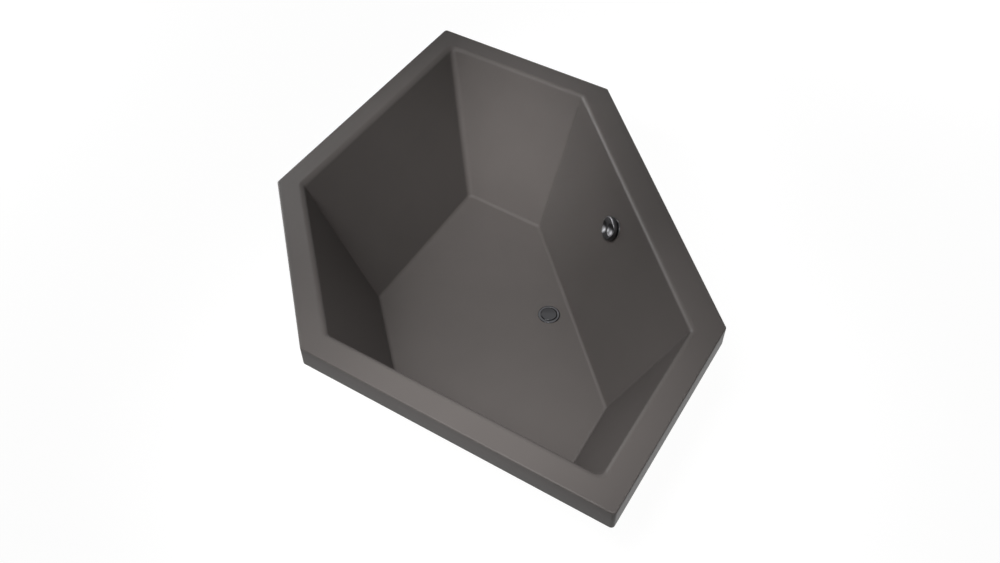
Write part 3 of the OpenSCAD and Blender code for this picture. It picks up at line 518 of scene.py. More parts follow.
def basinRing(depth, behind, **more):
    k = (meanFloorIn - tub["rim"]) / tub["depth"]
    radius = tub["crease"] + tub["rim"] + k * depth - wallIn(tub["rim"], meanFloorIn, depth, behind)
    return planRing(wallInsets(depth, behind), radius, tub["rimHeight"] - depth, **more)


def basinDepths(behind, wallSteps=1):
    # Depths of the rings: round the rolled edge, down the straight wall, round the fillet
    edge, foot, hold = tub["rolledEdge"], tub["floorFillet"], sheetForm["hold"]
    top = [edge - (edge - behind) * cos(radians(a)) for a in range(0, 72, 6)]
    low = [tub["depth"] - foot + (foot + behind) * sin(radians(a)) for a in (19, *range(26, 91, 8))]
    start, end = top[-1] + hold, low[0] - hold
    between = [start + (end - start) * k / wallSteps for k in range(wallSteps + 1)]
    return top + between + low


def lipRing(inset, z, **more):
    return planRing([(inset, inset)] * 6, tub["cornerRound"] - inset, z, **more)


def loft(name, rings):
    count = len(rings[0])
    points = [p for ring in rings for p in ring]
    faces = [tuple(range(count))]
    for k in range(len(rings) - 1):
        for i in range(count):
            j = (i + 1) % count
            faces.append((k * count + i, (k + 1) * count + i, (k + 1) * count + j, k * count + j))
    faces.append(tuple((len(rings) - 1) * count + i for i in reversed(range(count))))
    piece = meshObject(name, points, faces)
    outward(piece)
    return piece


def shrunk(ring, inset):
    # The ring moved towards its own middle, which holds the flat beside a fillet
    middle = sum(ring, Vector()) / len(ring)
    return [p + (middle - p).normalized() * inset for p in ring]


def cutOpenings(piece, low, high=0.01):
    # The openings for waste and overflow, from below the sheet to above it
    combine(piece, "DIFFERENCE", [
        lathe("cutter", [(0, low), (hole, low), (hole, high), (0, high)], place)
        for place, hole in ((wasteFrame, waste["hole"]), (overflowFrame, overflow["hole"]))])


def makeTubShell():
    lip, height, sheet, hold = tub["lipEdge"], tub["rimHeight"], tub["sheet"], sheetForm["hold"]
    lipHeight, turnedEdge = tub["lipHeight"], sheetForm["turnedEdge"]
    basinFace = [basinRing(d, 0) for d in reversed(basinDepths(0))]
    rimTop = [
        planRing([(a - hold, b - hold) for a, b in wallInsets(0, 0)],
                 tub["crease"] + sheetForm["rimRound"], height),
        planRing([(lip + hold, lip + hold)] * 6,
                 tub["cornerRound"] - lip + sheetForm["cornerHold"], height),
    ]
    lipTop = [lipRing(lip * (1 - cos(a)), height - lip * (1 - sin(a)))
              for a in (radians(90 - 15 * k) for k in range(7))]
    lipLow = [lipRing(inset, height - drop) for inset, drop in (
        (0, lip + sheetForm["lipHold"]), (0, lipHeight - 2 * turnedEdge), (turnedEdge, lipHeight),
        (sheet - turnedEdge, lipHeight), (sheet, lipHeight - turnedEdge), (sheet, sheet))]
    back = [basinRing(d, sheet) for d in basinDepths(sheet)]
    floorHold = [shrunk(basinFace[0], hold)]
    piece = loft("tub_shell_sheet", floorHold + basinFace + rimTop + lipTop + lipLow + back)
    cutOpenings(piece, low=-0.02)
    finishPiece(piece, "tub_shell", 28)


def makeFibreBacking():
    form, edgeIn, height = laminate, tub["sheet"] + laminate["gap"], tub["rimHeight"]
    fine = {"steps": 6, "stretch": 40}
    under = [basinRing(d, tub["sheet"], **fine) for d in reversed(basinDepths(tub["sheet"], 4))]
    edge = [lipRing(edgeIn, height - drop, **fine) for drop in (tub["sheet"], layers)]
    face = [basinRing(d, layers, **fine) for d in basinDepths(layers, 36)]
    piece = loft("fibre_backing_laminate", under + edge + face)
    # The laminate's outer face rises and falls a little, always towards the sheet.
    # It lies flat where the board is pressed into it.
    lowest = min(vertex.co.z for vertex in piece.data.vertices)
    for vertex in list(piece.data.vertices)[(len(under) + 2) * len(face[0]):]:
        broad, small = [waviness.noise(vertex.co * form[size]) for size in ("broadWaves", "smallWaves")]
        clear = min(1.0, max(0.0, (vertex.co.z - lowest - form["pressed"]) / form["fade"]))
        vertex.co -= vertex.normal * form["rise"] * clear * max(0.0, 0.5 + 0.5 * broad + 0.25 * small)
    cutOpenings(piece, low=-0.03)
    finishPiece(piece, "fibre_backing", 40)


makeTubShell()
makeFibreBacking()
print("sheet and backing made")

# Boards and battens

batten = {"fromLip": 0.009, "width": 0.048, "thick": 0.018, "easedEdge": 0.002}
battenNodes = [
    "batten_wall_left", "batten_back", "batten_wall_right", "batten_end_right", "batten_front",
    "batten_end_left",
]


def prism(name, outline, low, high):
    count = len(outline)
    points = [(p[0], p[1], z) for z in (low, high) for p in outline]
    faces = [tuple(reversed(range(count))), tuple(range(count, 2 * count))]
    faces += [(i, (i + 1) % count, count + (i + 1) % count, count + i) for i in range(count)]
    piece = meshObject(name, points, faces)
    outward(piece)
    return piece


def makeBatten(side):
    near, far = batten["fromLip"], batten["fromLip"] + batten["width"]
    top = tub["rimHeight"] - layers
    after = (side + 1) % 6
    outline = [planCorner(side, near, near), planCorner(after, near, near),
               planCorner(after, far, far), planCorner(side, far, far)]
    piece = prism(battenNodes[side] + "_timber", outline, top - batten["thick"], top)
    easeEdges(piece, batten["easedEdge"], 3)
    grain = softwood("softwood_" + battenNodes[side], sideAngle[side] + pi / 2)
    finishPiece(piece, battenNodes[side], 35, grain)


for side in range(6):
    makeBatten(side)
eased("base_board", "base_board_panel", 0.0007)
print("board and battens made")


# Geometry Nodes trees

def newTree(name, **inputs):
    tree = bpy.data.node_groups.new(name, "GeometryNodeTree")
    for label, kind in {"Geometry": "Geometry", **inputs, "Material": "Material"}.items():
        tree.interface.new_socket(label.replace("_", " "), in_out="INPUT",
                                  socket_type="NodeSocket" + kind)
    tree.interface.new_socket("Geometry", in_out="OUTPUT", socket_type="NodeSocketGeometry")
    return tree, tree.nodes.new("NodeGroupInput").outputs


def ended(tree, given, *parts):
    # Every tree ends in plain geometry with its material set
    joined = tree.nodes.new("GeometryNodeJoinGeometry")
    for part in parts:
        give(joined.inputs[0], part)
    real = added(tree, "GeometryNodeRealizeInstances", Geometry=joined)
    paint = added(tree, "GeometryNodeSetMaterial", Geometry=real, Material=given["Material"])
    added(tree, "NodeGroupOutput", Geometry=paint)
    return tree


def rodBetween(tree, given, **values):
    # A cylinder that stands between two heights
    low, high = given["Low"], given["High"]
    rod = added(tree, "GeometryNodeMeshCylinder", Depth=calculate("SUBTRACT", high, low), **values)
    middle = calculate("MULTIPLY", calculate("ADD", high, low), 0.5)
    lift = added(tree, "ShaderNodeCombineXYZ", Z=middle)
    return added(tree, "GeometryNodeTransform", Geometry=rod, Translation=lift)


def runTree(piece, tree, node, **values):
    modifier = piece.modifiers.new(tree.name, "NODES")
    modifier.node_group = tree
    values["Material"] = finish[slotOf[node]]
    for socket in tree.interface.items_tree:
        label = socket.name.replace(" ", "_")
        if socket.in_out == "INPUT" and label in values:
            modifier[socket.identifier] = values[label]
    applyModifiers(piece)


def fastenerTree():
    # One copy of a fastener on each point, each turned a little further than the last
    tree, given = newTree("fasteners", Fastener="Object", Turn="Float")
    info = added(tree, "GeometryNodeObjectInfo", Object=given["Fastener"])
    index = tree.nodes.new("GeometryNodeInputIndex")
    turn = added(tree, "ShaderNodeCombineXYZ", Z=calculate("MULTIPLY", index, given["Turn"]))
    placed = added(tree, "GeometryNodeInstanceOnPoints", Points=given["Geometry"],
                   Instance=info.outputs["Geometry"], Rotation=turn)
    return ended(tree, given, placed)


def gripTree():
    # Rounded ribs that stand round a cap, nut or collar
    tree, given = newTree("grip_ribs", Count="Int", Radius="Float", Rib_Radius="Float", Low="Float",
                          High="Float")
    circle = added(tree, "GeometryNodeMeshCircle", Vertices=given["Count"], Radius=given["Radius"])
    rib = rodBetween(tree, given, Vertices=16, Radius=given["Rib Radius"])
    placed = added(tree, "GeometryNodeInstanceOnPoints", Points=circle, Instance=rib)
    return ended(tree, given, placed, given["Geometry"])


def tubeTree():
    # A round skin along a path, whose radius rises and falls once for each wave
    tree, given = newTree("tube_on_path", Waves="Int", Steps="Int", Low_Radius="Float",
                          High_Radius="Float", Sides="Int", Closed="Bool")
    curve = added(tree, "GeometryNodeMeshToCurve", Mesh=given["Geometry"])
    count = calculate("ADD", calculate("MULTIPLY", given["Waves"], given["Steps"]), 1.0)
    fine = added(tree, "GeometryNodeResampleCurve", Curve=curve, Count=count)
    along = tree.nodes.new("GeometryNodeSplineParameter")
    phase = calculate("MULTIPLY", calculate("MULTIPLY", along, given["Waves"]), 2 * pi)
    # A cosine cut off at both ends leaves flat valleys and crests
    wave = calculate("MULTIPLY", calculate("COSINE", phase), -0.7)
    share = added(tree, "ShaderNodeClamp", Value=calculate("ADD", wave, 0.5))
    rise = calculate("SUBTRACT", given["High Radius"], given["Low Radius"])
    radius = calculate("ADD", calculate("MULTIPLY", rise, share), given["Low Radius"])
    ring = added(tree, "GeometryNodeCurvePrimitiveCircle", Resolution=given["Sides"])
    feed(ring, Radius=1.0)
    skin = added(tree, "GeometryNodeCurveToMesh", Curve=fine, Profile_Curve=ring, Scale=radius,
                 Fill_Caps=given["Closed"])
    return ended(tree, given, skin)


def threadTree():
    # A rod whose radius follows a helix; the thread fades out at both ends
    tree, given = newTree("threaded_rod", Radius="Float", Pitch="Float", Thread_Depth="Float",
                          Low="Float", High="Float", Around="Int", Rows="Int")
    rod = rodBetween(tree, given, Vertices=given["Around"], Side_Segments=given["Rows"],
                     Radius=given["Radius"])
    position = tree.nodes.new("GeometryNodeInputPosition")
    x, y, z = added(tree, "ShaderNodeSeparateXYZ", Vector=position).outputs
    turn = calculate("DIVIDE", calculate("ARCTAN2", y, x), 2 * pi)
    phase = calculate("SUBTRACT", calculate("DIVIDE", z, given["Pitch"]), turn)
    flank = calculate("PINGPONG", calculate("FRACT", phase), 0.5)
    groove = calculate("SUBTRACT", 1.0, calculate("MULTIPLY", flank, 2.0))
    toTop = calculate("DIVIDE", calculate("SUBTRACT", given["High"], z), given["Pitch"])
    toLow = calculate("DIVIDE", calculate("SUBTRACT", z, given["Low"]), given["Pitch"])
    fade = added(tree, "ShaderNodeClamp", Value=calculate("MINIMUM", toTop, toLow))
    end = calculate("SUBTRACT", 1.0, fade)
    depth = calculate("MULTIPLY", calculate("MAXIMUM", groove, end), given["Thread Depth"])
    scale = calculate("SUBTRACT", 1.0, calculate("DIVIDE", depth, given["Radius"]))
    moved = added(tree, "ShaderNodeCombineXYZ", X=calculate("MULTIPLY", x, scale),
                  Y=calculate("MULTIPLY", y, scale), Z=z)
    cut = added(tree, "GeometryNodeSetPosition", Geometry=rod, Position=moved)
    return ended(tree, given, cut, given["Geometry"])


fasteners, gripRibs, tubeOnPath, threadedRod = fastenerTree(), gripTree(), tubeTree(), threadTree()


def onPoints(name, places, fastener, node, turn=0.0):
    piece = meshObject(name, places, [])
    runTree(piece, fasteners, node, Fastener=fastener, Turn=turn)
    bpy.data.objects.remove(fastener)
    finishPiece(piece, node, 35)


def withGrip(piece, node, place, **ribs):
    # Ribs are added in the piece's own frame, and then it is put in its place
    runTree(piece, gripRibs, node, **ribs)
    piece.data.transform(place)
    finishPiece(piece, node, 35)


# Underframe and feet, in the frame along the middle line

underframe = {
    "railTube": 0.025, "longRail": 0.190, "frontGap": 0.024, "backGap": 0.042, "armGap": 0.066,
    "footFromEnd": 0.042, "screwFromEnd": 0.018, "boardThick": 0.016, "easedEdge": 0.0014,
}
railLow = basinFloor - layers - underframe["boardThick"] - underframe["railTube"]
floorCorner = planCorner(0, tub["floorEnd"], tub["floorWall"])
crossPlace = (2 * frontMiddle - floorCorner.x - floorCorner.y) / sqrt(2)
armEnd = abs(floorCorner.x - floorCorner.y) / sqrt(2) - underframe["armGap"]
railFront = tub["floorFront"] + underframe["frontGap"]
railBack = frontDistance + backDistance - tub["floorBack"] - underframe["backGap"]
longRail = underframe["longRail"]


def under(s, u, z):
    return middleFrame @ Vector((s, -u, z))


def bar(start, end, half, low, high):
    return prism("bar", [(start, -half), (end, -half), (end, half), (start, half)], low, high)


railScrew = {
    "radius": 0.005, "height": 0.003, "shank": 0.0025, "bite": 0.011, "point": 0.002, "slotHalf": 0.0006,
    "slotReach": 0.003, "slotDeep": 0.0015, "easedEdge": 0.001, "turn": 0.7, "faceShare": 0.7,
    "domeShare": 0.45, "clear": 0.01,
}


def makeRailScrews():
    # Pan heads with a cross recess; the shanks run through the rails into the board
    form, radius, height, shank = railScrew, railScrew["radius"], railScrew["height"], railScrew["shank"]
    gap, half = underframe["screwFromEnd"], underframe["railTube"] / 2
    places = [(side * longRail, u) for side in (-1, 1)
              for u in (railFront + gap, crossPlace + half + gap, railBack - gap)]
    places += [(side * s, crossPlace) for side in (-1, 1)
               for s in (longRail + half + gap, armEnd - gap, longRail - half - gap)]
    top = underframe["railTube"] + form["bite"]
    screw = turned("screw", [
        (0, -height), (radius * form["faceShare"], -height), (radius, -height * form["domeShare"]),
        (radius, 0), (shank, 0), (shank, top - form["point"]), (0, top)], form["easedEdge"], turns=40)
    slots = []
    for turn in (0, pi / 2):
        slots.append(bar(-form["slotReach"], form["slotReach"], form["slotHalf"], -form["clear"],
                         form["slotDeep"] - height))
        slots[-1].data.transform(Matrix.Rotation(turn, 4, "Z"))
    combine(screw, "DIFFERENCE", slots)
    onPoints("rail_screw_set", [under(s, u, railLow) for s, u in places], screw, "rail_screws",
             form["turn"])


foot = {
    "screwRadius": 0.005, "pitch": 0.0015, "threadDeep": 0.0007, "padRadius": 0.025, "padHigh": 0.016,
    "padFloor": 0.005, "padEdge": 0.001, "padNeck": 0.004, "headRadius": 0.008, "headHigh": 0.007,
    "nutFlats": 0.017, "nutHigh": 0.006, "bushFlange": 0.002, "bushWall": 0.0025, "bushLength": 0.014,
    "left": 0.008, "travel": 0.015, "gap": 0.0003, "play": 0.00005, "nutShoulder": 0.97,
    "nutChamfer": 0.5, "nutTurn": 0.5, "threadSink": 0.001, "rowsPerTurn": 8, "headEdge": 0.0008,
    "padRound": 0.0012, "bushEdge": 0.0004,
}


def hexNut(flats, low, high, bore):
    # Its corners are chamfered by a cone, as on a pressed nut
    steps, shoulder = 96, flats / 2 * foot["nutShoulder"]
    rings = [[] for k in range(6)]
    for i in range(steps):
        a = 2 * pi * i / steps
        flat = flats / 2 / cos((a + pi / 6) % (pi / 3) - pi / 6)
        drop = (flat - shoulder) * foot["nutChamfer"]
        for ring, radius, z in zip(rings, (bore, shoulder, flat, flat, shoulder, bore),
                                   (low, low, low + drop, high - drop, high, high)):
            ring.append((radius * cos(a), radius * sin(a), z))
    faces = [(k * steps + i, k * steps + (i + 1) % steps, (k + 1) % 6 * steps + (i + 1) % steps,
              (k + 1) % 6 * steps + i) for k in range(6) for i in range(steps)]
    piece = meshObject("nut", [p for ring in rings for p in ring], faces)
    outward(piece)
    return piece


def joinMeshes(name, pieces):
    shape = bmesh.new()
    for piece in pieces:
        shape.from_mesh(piece.data)
        bpy.data.objects.remove(piece)
    whole = meshObject(name, [], [])
    shape.to_mesh(whole.data)
    shape.free()
    return whole


def makeFeet():
    f, flangeLow = foot, railLow - foot["bushFlange"]
    nutTop = flangeLow - f["gap"]
    headLow, headTop = f["padFloor"], f["padFloor"] + f["headHigh"]
    threadLow, threadHigh = headTop - f["threadSink"], flangeLow + f["left"] + f["travel"]
    fromEnd = underframe["footFromEnd"]
    places = [place for side in (-1, 1) for place in (
        (side * longRail, railFront + fromEnd), (side * longRail, railBack - fromEnd),
        (side * (armEnd - fromEnd), crossPlace))]
    radius, edge, head = f["padRadius"], f["padEdge"], f["headRadius"]
    neck, hole = head + f["padNeck"], head + f["play"]
    padOutline = [
        (0, 0), (radius - edge, 0), (radius, edge), (radius, 3 * edge), (radius - 2 * edge, 5 * edge),
        (neck + 2 * edge, 7 * edge), (neck, 9 * edge), (neck, f["padHigh"]), (hole, f["padHigh"]),
        (hole, headLow), (0, headLow)]
    for i, (s, u) in enumerate(places):
        place = Matrix.Translation(under(s, u, 0))
        ball = turned("head", [(0, headLow), (head, headLow), (head, headTop), (0, headTop)], f["headEdge"],
                      turns=48, steps=3)
        nut = hexNut(f["nutFlats"], nutTop - f["nutHigh"], nutTop, f["screwRadius"] - f["gap"])
        nut.data.transform(Matrix.Rotation(f["nutTurn"] * i, 4, "Z"))
        screw = joinMeshes(f"foot_screw_{i + 1}_threaded", [ball, nut])
        runTree(screw, threadedRod, f"foot_screw_{i + 1}", Radius=f["screwRadius"], Pitch=f["pitch"],
                Thread_Depth=f["threadDeep"], Low=threadLow, High=threadHigh, Around=28,
                Rows=round((threadHigh - threadLow) / f["pitch"] * f["rowsPerTurn"]))
        screw.data.transform(place)
        finishPiece(screw, f"foot_screw_{i + 1}", 34)
        pad = turned(f"foot_pad_{i + 1}_moulded", padOutline, f["padRound"], place, 72)
        finishPiece(pad, f"foot_pad_{i + 1}", 40)
    bore, wall, top = f["screwRadius"] + f["play"], f["bushWall"], railLow + f["bushLength"]
    bush = turned("bush", [
        (bore, flangeLow), (bore + 2 * wall, flangeLow), (bore + 2 * wall, railLow), (bore + wall, railLow),
        (bore + wall, top), (bore, top)], f["bushEdge"], turns=48, steps=3)
    onPoints("foot_bush_set", [under(s, u, 0) for s, u in places], bush, "foot_bushes")


for node in ("long_rail_left", "long_rail_right", "cross_rail_middle", "cross_arm_left", "cross_arm_right"):
    eased(node, node + "_tube", underframe["easedEdge"], 3)
makeRailScrews()
makeFeet()
print("underframe and feet made")


# Waste: heights are above the basin floor

plug = {
    "radius": 0.0285, "seatRadius": 0.023, "recess": 0.002, "gap": 0.0003, "thick": 0.004,
    "crown": 0.0006, "stemRadius": 0.003, "play": 0.00005, "bossIn": 0.004, "bossLow": -0.001,
    "stemTop": 0.002, "edge": 0.0008, "crownShare": 0.86, "rings": 8, "underEase": 0.002,
    "lowEdge": 0.001, "sideDrop": 0.0012, "rimEase": 0.001, "rimDrop": 0.0003,
}
flange = {
    "radius": 0.040, "recessRadius": 0.030, "seal": 0.001, "top": 0.0038, "neck": 0.0255, "tail": 0.021,
    "throat": 0.0175, "tailLow": -0.019, "bodyTop": -0.012, "guideRadius": 0.006, "guideTop": -0.011,
    "armWidth": 0.0025, "armHeight": 0.004, "armUp": 0.0005, "edge": 0.0007, "rimFlat": 0.004,
    "rimEase": 0.0012, "rimFall": 0.0008, "rimDrop": 0.0022, "neckEnd": 0.001, "tailStep": 0.0005,
    "throatTop": -0.0075, "seatLow": -0.002, "armBite": 0.001, "armInto": 0.0008,
}


def makePlugCap():
    p, r, low = plug, plug["radius"], plug["recess"] + plug["gap"]
    top, boss, stem = low + p["thick"], p["seatRadius"] - p["bossIn"], p["stemRadius"] + p["play"]
    crown = [(r * (1 - k / p["rings"]) * p["crownShare"],
              top + p["crown"] * (1 - (1 - k / p["rings"]) ** 2)) for k in range(p["rings"])]
    outline = rounded([
        (0, p["stemTop"]), (stem, p["stemTop"]), (stem, p["bossLow"]), (boss, p["bossLow"]),
        (boss, low), (r - p["underEase"], low), (r, low + p["lowEdge"]), (r, top - p["sideDrop"]),
        (r - p["rimEase"], top - p["rimDrop"]), crown[0]], p["edge"])
    outline += crown[1:] + [(0, top + p["crown"])]
    finishPiece(lathe("plug_cap_domed", outline, wasteFrame, 128), "plug_cap", 50)


def makeWasteFlange():
    f, seat, tailLow, guideRadius = flange, plug["seatRadius"], flange["tailLow"], flange["guideRadius"]
    r, top = f["radius"], f["top"]
    piece = turned("flange", [
        (f["recessRadius"], plug["recess"]), (f["recessRadius"], top), (r - f["rimFlat"], top),
        (r - f["rimEase"], top - f["rimFall"]), (r, top - f["rimDrop"]), (r, f["seal"]),
        (f["neck"], f["seal"]), (f["neck"], -layers + f["neckEnd"]),
        (f["tail"], f["bodyTop"] + f["tailStep"]), (f["tail"], tailLow), (f["throat"], tailLow),
        (f["throat"], f["throatTop"]), (seat, f["seatLow"]), (seat, plug["recess"])],
        f["edge"], wasteFrame, 128)
    bore = plug["stemRadius"] + plug["play"]
    guide = lathe("guide", [(bore, tailLow), (guideRadius, tailLow), (guideRadius, f["guideTop"]),
                            (bore, f["guideTop"])], wasteFrame, 64)
    arms = []
    for side in range(4):
        arms.append(bar(guideRadius - f["armBite"], f["throat"] + f["armInto"], f["armWidth"] / 2,
                        tailLow + f["armUp"], tailLow + f["armUp"] + f["armHeight"]))
        arms[-1].data.transform(wasteFrame @ Matrix.Rotation(pi / 4 + side * pi / 2, 4, "Z"))
    combine(piece, "UNION", [guide, *arms])
    piece.name = "waste_flange_turned"
    finishPiece(piece, "waste_flange", 40)


trap = {
    "radius": 0.046, "wall": 0.003, "openLow": -0.106, "cupRadius": 0.050, "cupTop": -0.0965,
    "cupLow": -0.131, "cupWall": 0.004, "cupRound": 0.004, "sealThick": 0.002, "play": 0.0001, "ribs": 16,
    "ribRadius": 0.0016, "edge": 0.0012, "ribsFrom": 0.006, "ribsTo": 0.002,
}
outlet = {
    "radius": 0.020, "wall": 0.002, "reach": 0.220, "spigot": 0.050, "beadThick": 0.002,
    "beadOut": 0.0015, "start": 0.050, "nutRadius": 0.029, "nutLow": 0.054, "nutHigh": 0.074,
    "socket": 0.024, "socketTo": 0.066, "sealThick": 0.004, "play": 0.0001, "ribs": 18,
    "ribRadius": 0.0014, "pipeEdge": 0.0005, "nutEdge": 0.0008, "ribsFrom": 0.0002, "ribsTo": 0.002,
    "belowRail": 0.002,
}
outletHeight = railLow - outlet["belowRail"] - outlet["radius"] - basinFloor
outletFrame = sideways(wasteFrame, outletHeight, pi / 2)


def makeTrapCup():
    t = trap
    inner, outer, radius = t["radius"] - t["wall"], t["radius"] + t["play"], t["cupRadius"]
    sealLow, floorTop = t["openLow"] - t["sealThick"], t["cupLow"] + t["cupWall"]
    piece = turned("trap_cup_moulded", [
        (0, t["cupLow"]), (radius - t["cupRound"], t["cupLow"]), (radius, t["cupLow"] + t["cupRound"]),
        (radius, t["cupTop"]), (outer, t["cupTop"]), (outer, sealLow), (inner, sealLow), (inner, floorTop),
        (0, floorTop)], t["edge"])
    place = wasteFrame @ Matrix.Rotation(pi / t["ribs"], 4, "Z")
    withGrip(piece, "trap_cup", place, Count=t["ribs"], Radius=radius, Rib_Radius=t["ribRadius"],
             Low=t["cupLow"] + t["ribsFrom"], High=t["cupTop"] - t["ribsTo"])


def makeOutlet():
    o, r, socket = outlet, outlet["radius"], outlet["socket"] + outlet["play"]
    bead, inner, sealTop = o["reach"] - o["spigot"], r - o["wall"], o["socketTo"] + o["sealThick"]
    pipe = turned("outlet_pipe_drawn", [
        (inner, o["start"]), (r, o["start"]), (r, bead - o["beadThick"]),
        (r + o["beadOut"], bead - o["beadThick"]), (r + o["beadOut"], bead), (r, bead),
        (r, o["reach"]), (inner, o["reach"])], o["pipeEdge"], outletFrame)
    finishPiece(pipe, "outlet_pipe", 40)
    nut = turned("outlet_nut_moulded", [
        (socket, o["nutLow"]), (o["nutRadius"], o["nutLow"]), (o["nutRadius"], o["nutHigh"]),
        (r + 2 * o["play"], o["nutHigh"]), (r + 2 * o["play"], sealTop), (socket, sealTop)],
        o["nutEdge"])
    withGrip(nut, "outlet_nut", outletFrame, Count=o["ribs"], Radius=o["nutRadius"],
             Rib_Radius=o["ribRadius"], Low=o["nutLow"] + o["ribsFrom"],
             High=o["nutHigh"] - o["ribsTo"])


makeWasteFlange()
makePlugCap()
makeTrapCup()
makeOutlet()
eased("waste_body", "waste_body_moulded", 0.0005)
print("waste made")


# Overflow: the knob is cut by two round scoops that leave a grip bar between them

knob = {
    "radius": 0.0405, "standoff": 0.015, "thick": 0.016, "edge": 0.005, "lowEdge": 0.001,
    "scoopRadius": 0.026, "scoopUp": 0.015, "scoopOut": 0.0235, "gripAngle": 30, "blend": 0.0014,
    "rimWall": 0.003, "hollow": 0.0025, "hubRadius": 0.008, "spindle": 0.00405, "socket": 0.0035,
    "turns": 320, "faceSteps": 72, "skirt": 0.0035, "draft": 0.0003, "keep": 0.0001, "edgeSteps": 15,
    "lowSteps": 4,
}


def quarter(steps):
    # Angles through a quarter turn
    return [radians(90 * i / steps) for i in range(1, steps + 1)]


def makeKnob():
    k = knob
    r, low, top = k["radius"], k["standoff"], k["standoff"] + k["thick"]
    edge, lowEdge, rim = k["edge"], k["lowEdge"], r - k["rimWall"]
    roof, seat = low + k["hollow"], low + k["socket"]
    outline = [((r - edge) * i / k["faceSteps"], top) for i in range(k["faceSteps"] + 1)]
    outline += [(r - edge + edge * sin(a), top - edge * (1 - cos(a))) for a in quarter(k["edgeSteps"])]
    outline += [(r, top - edge - k["skirt"]), (r, low + lowEdge)]
    outline += [(r - lowEdge * (1 - cos(a)), low + lowEdge * (1 - sin(a))) for a in quarter(k["lowSteps"])]
    outline += [(rim, low), (rim - k["draft"], roof), (k["hubRadius"], roof), (k["hubRadius"], low),
                (k["spindle"], low), (k["spindle"], seat), (0, seat)]
    scoops = [Matrix.Rotation(radians(k["gripAngle"]), 3, "Z") @ Vector((side * k["scoopOut"], 0, 0))
              for side in (-1, 1)]

    def lowered(x, y, z):
        # The lower of the turned outline and the scoops, blended where they meet
        for middle in scoops:
            far = hypot(x - middle.x, y - middle.y)
            if far >= k["scoopRadius"] or z < seat + k["keep"]:
                continue
            bowl = top + k["scoopUp"] - sqrt(k["scoopRadius"] ** 2 - far ** 2)
            h = max(k["blend"] - abs(z - bowl), 0) / k["blend"]
            z = min(z, bowl) - h * h * k["blend"] / 4
        return z

    piece = lathe("overflow_knob_scooped", outline, Matrix(), k["turns"])
    for vertex in piece.data.vertices:
        vertex.co.z = lowered(*vertex.co)
    piece.data.transform(overflowFrame)
    finishPiece(piece, "overflow_knob", 40)


makeKnob()
eased("overflow_ring", "overflow_ring_turned", 0.0004)
eased("overflow_body", "overflow_body_moulded", 0.0005)

# Hose and pull cable

hose = {
    "radius": 0.0128, "valley": 0.0112, "bore": 0.010, "pitch": 0.006, "bend": 0.036, "upperBoss": 0.038,
    "lowerBoss": 0.042, "gap": 0.001, "spoutDepth": -0.028, "inletDepth": -0.032, "collarWall": 0.0034,
    "collarLength": 0.016, "collarRibs": 12, "ribRadius": 0.0012, "play": 0.0003, "sides": 32,
    "collarEdge": 0.0008, "ribsIn": 0.001,
}
spoutFrame = sideways(overflowFrame, hose["spoutDepth"], pi / 2)
inletFrame = sideways(wasteFrame, hose["inletDepth"], -pi / 2)


def hosePath():
    # Straight down beside the wall, one bend, and level to the waste
    start = spoutFrame @ Vector((0, 0, hose["upperBoss"] + hose["gap"]))
    end = inletFrame @ Vector((0, 0, hose["lowerBoss"] + hose["gap"]))
    down = (spoutFrame.to_3x3() @ Vector((0, 0, 1))).normalized()
    level = Vector((end.x - start.x, end.y - start.y, 0)).normalized()
    knee = start + down * ((end.z - start.z) / down.z)
    turn = down.angle(level)
    cut = hose["bend"] * tan(turn / 2)
    bendStart = knee - down * cut
    middle = bendStart + (level - down * down.dot(level)).normalized() * hose["bend"]
    path = [start.lerp(bendStart, i / 40) for i in range(41)]
    axis = down.cross(level).normalized()
    path += [middle + Matrix.Rotation(turn * i / 24, 3, axis) @ (bendStart - middle) for i in range(1, 25)]
    path += [path[-1].lerp(end, i / 20) for i in range(1, 21)]
    return path


def skinOnPath(name, path, node, low, high, **values):
    piece = meshObject(name, path, [], [(i, i + 1) for i in range(len(path) - 1)])
    runTree(piece, tubeOnPath, node, Low_Radius=low, High_Radius=high, **values)
    return piece


def makeHose():
    path = hosePath()
    length = sum((b - a).length for a, b in zip(path, path[1:]))
    common = {"Waves": floor(length / hose["pitch"]), "Sides": hose["sides"], "Closed": False}
    skin = skinOnPath("skin", path, "overflow_hose", hose["valley"], hose["radius"], Steps=8, **common)
    bore = skinOnPath("bore", path, "overflow_hose", hose["bore"], hose["bore"], Steps=2, **common)
    piece = joinMeshes("overflow_hose_ribbed", [skin, bore])
    with editing(piece) as shape:
        for end in (path[0], path[-1]):
            mouth = [e for e in shape.edges
                     if e.is_boundary and (e.verts[0].co - end).length < 1.5 * hose["radius"]]
            bmesh.ops.bridge_loops(shape, edges=mouth)
        bmesh.ops.recalc_face_normals(shape, faces=shape.faces)
    finishPiece(piece, "overflow_hose", 60)


def makeCollar(node, place):
    outer, bore = [hose["radius"] + hose[gap] for gap in ("collarWall", "play")]
    length = hose["collarLength"]
    piece = turned(node + "_moulded", [(bore, 0), (outer, 0), (outer, length), (bore, length)],
                   hose["collarEdge"], turns=72)
    withGrip(piece, node, place, Count=hose["collarRibs"], Radius=outer, Rib_Radius=hose["ribRadius"],
             Low=hose["ribsIn"], High=length - hose["ribsIn"])


cable = {
    "radius": 0.0025, "glandAcross": 0.021, "glandDepth": -0.034, "glandFrom": 0.025, "glandTo": 0.033,
    "sheathFrom": 0.038, "wireHeight": -0.024, "steps": 10,
}


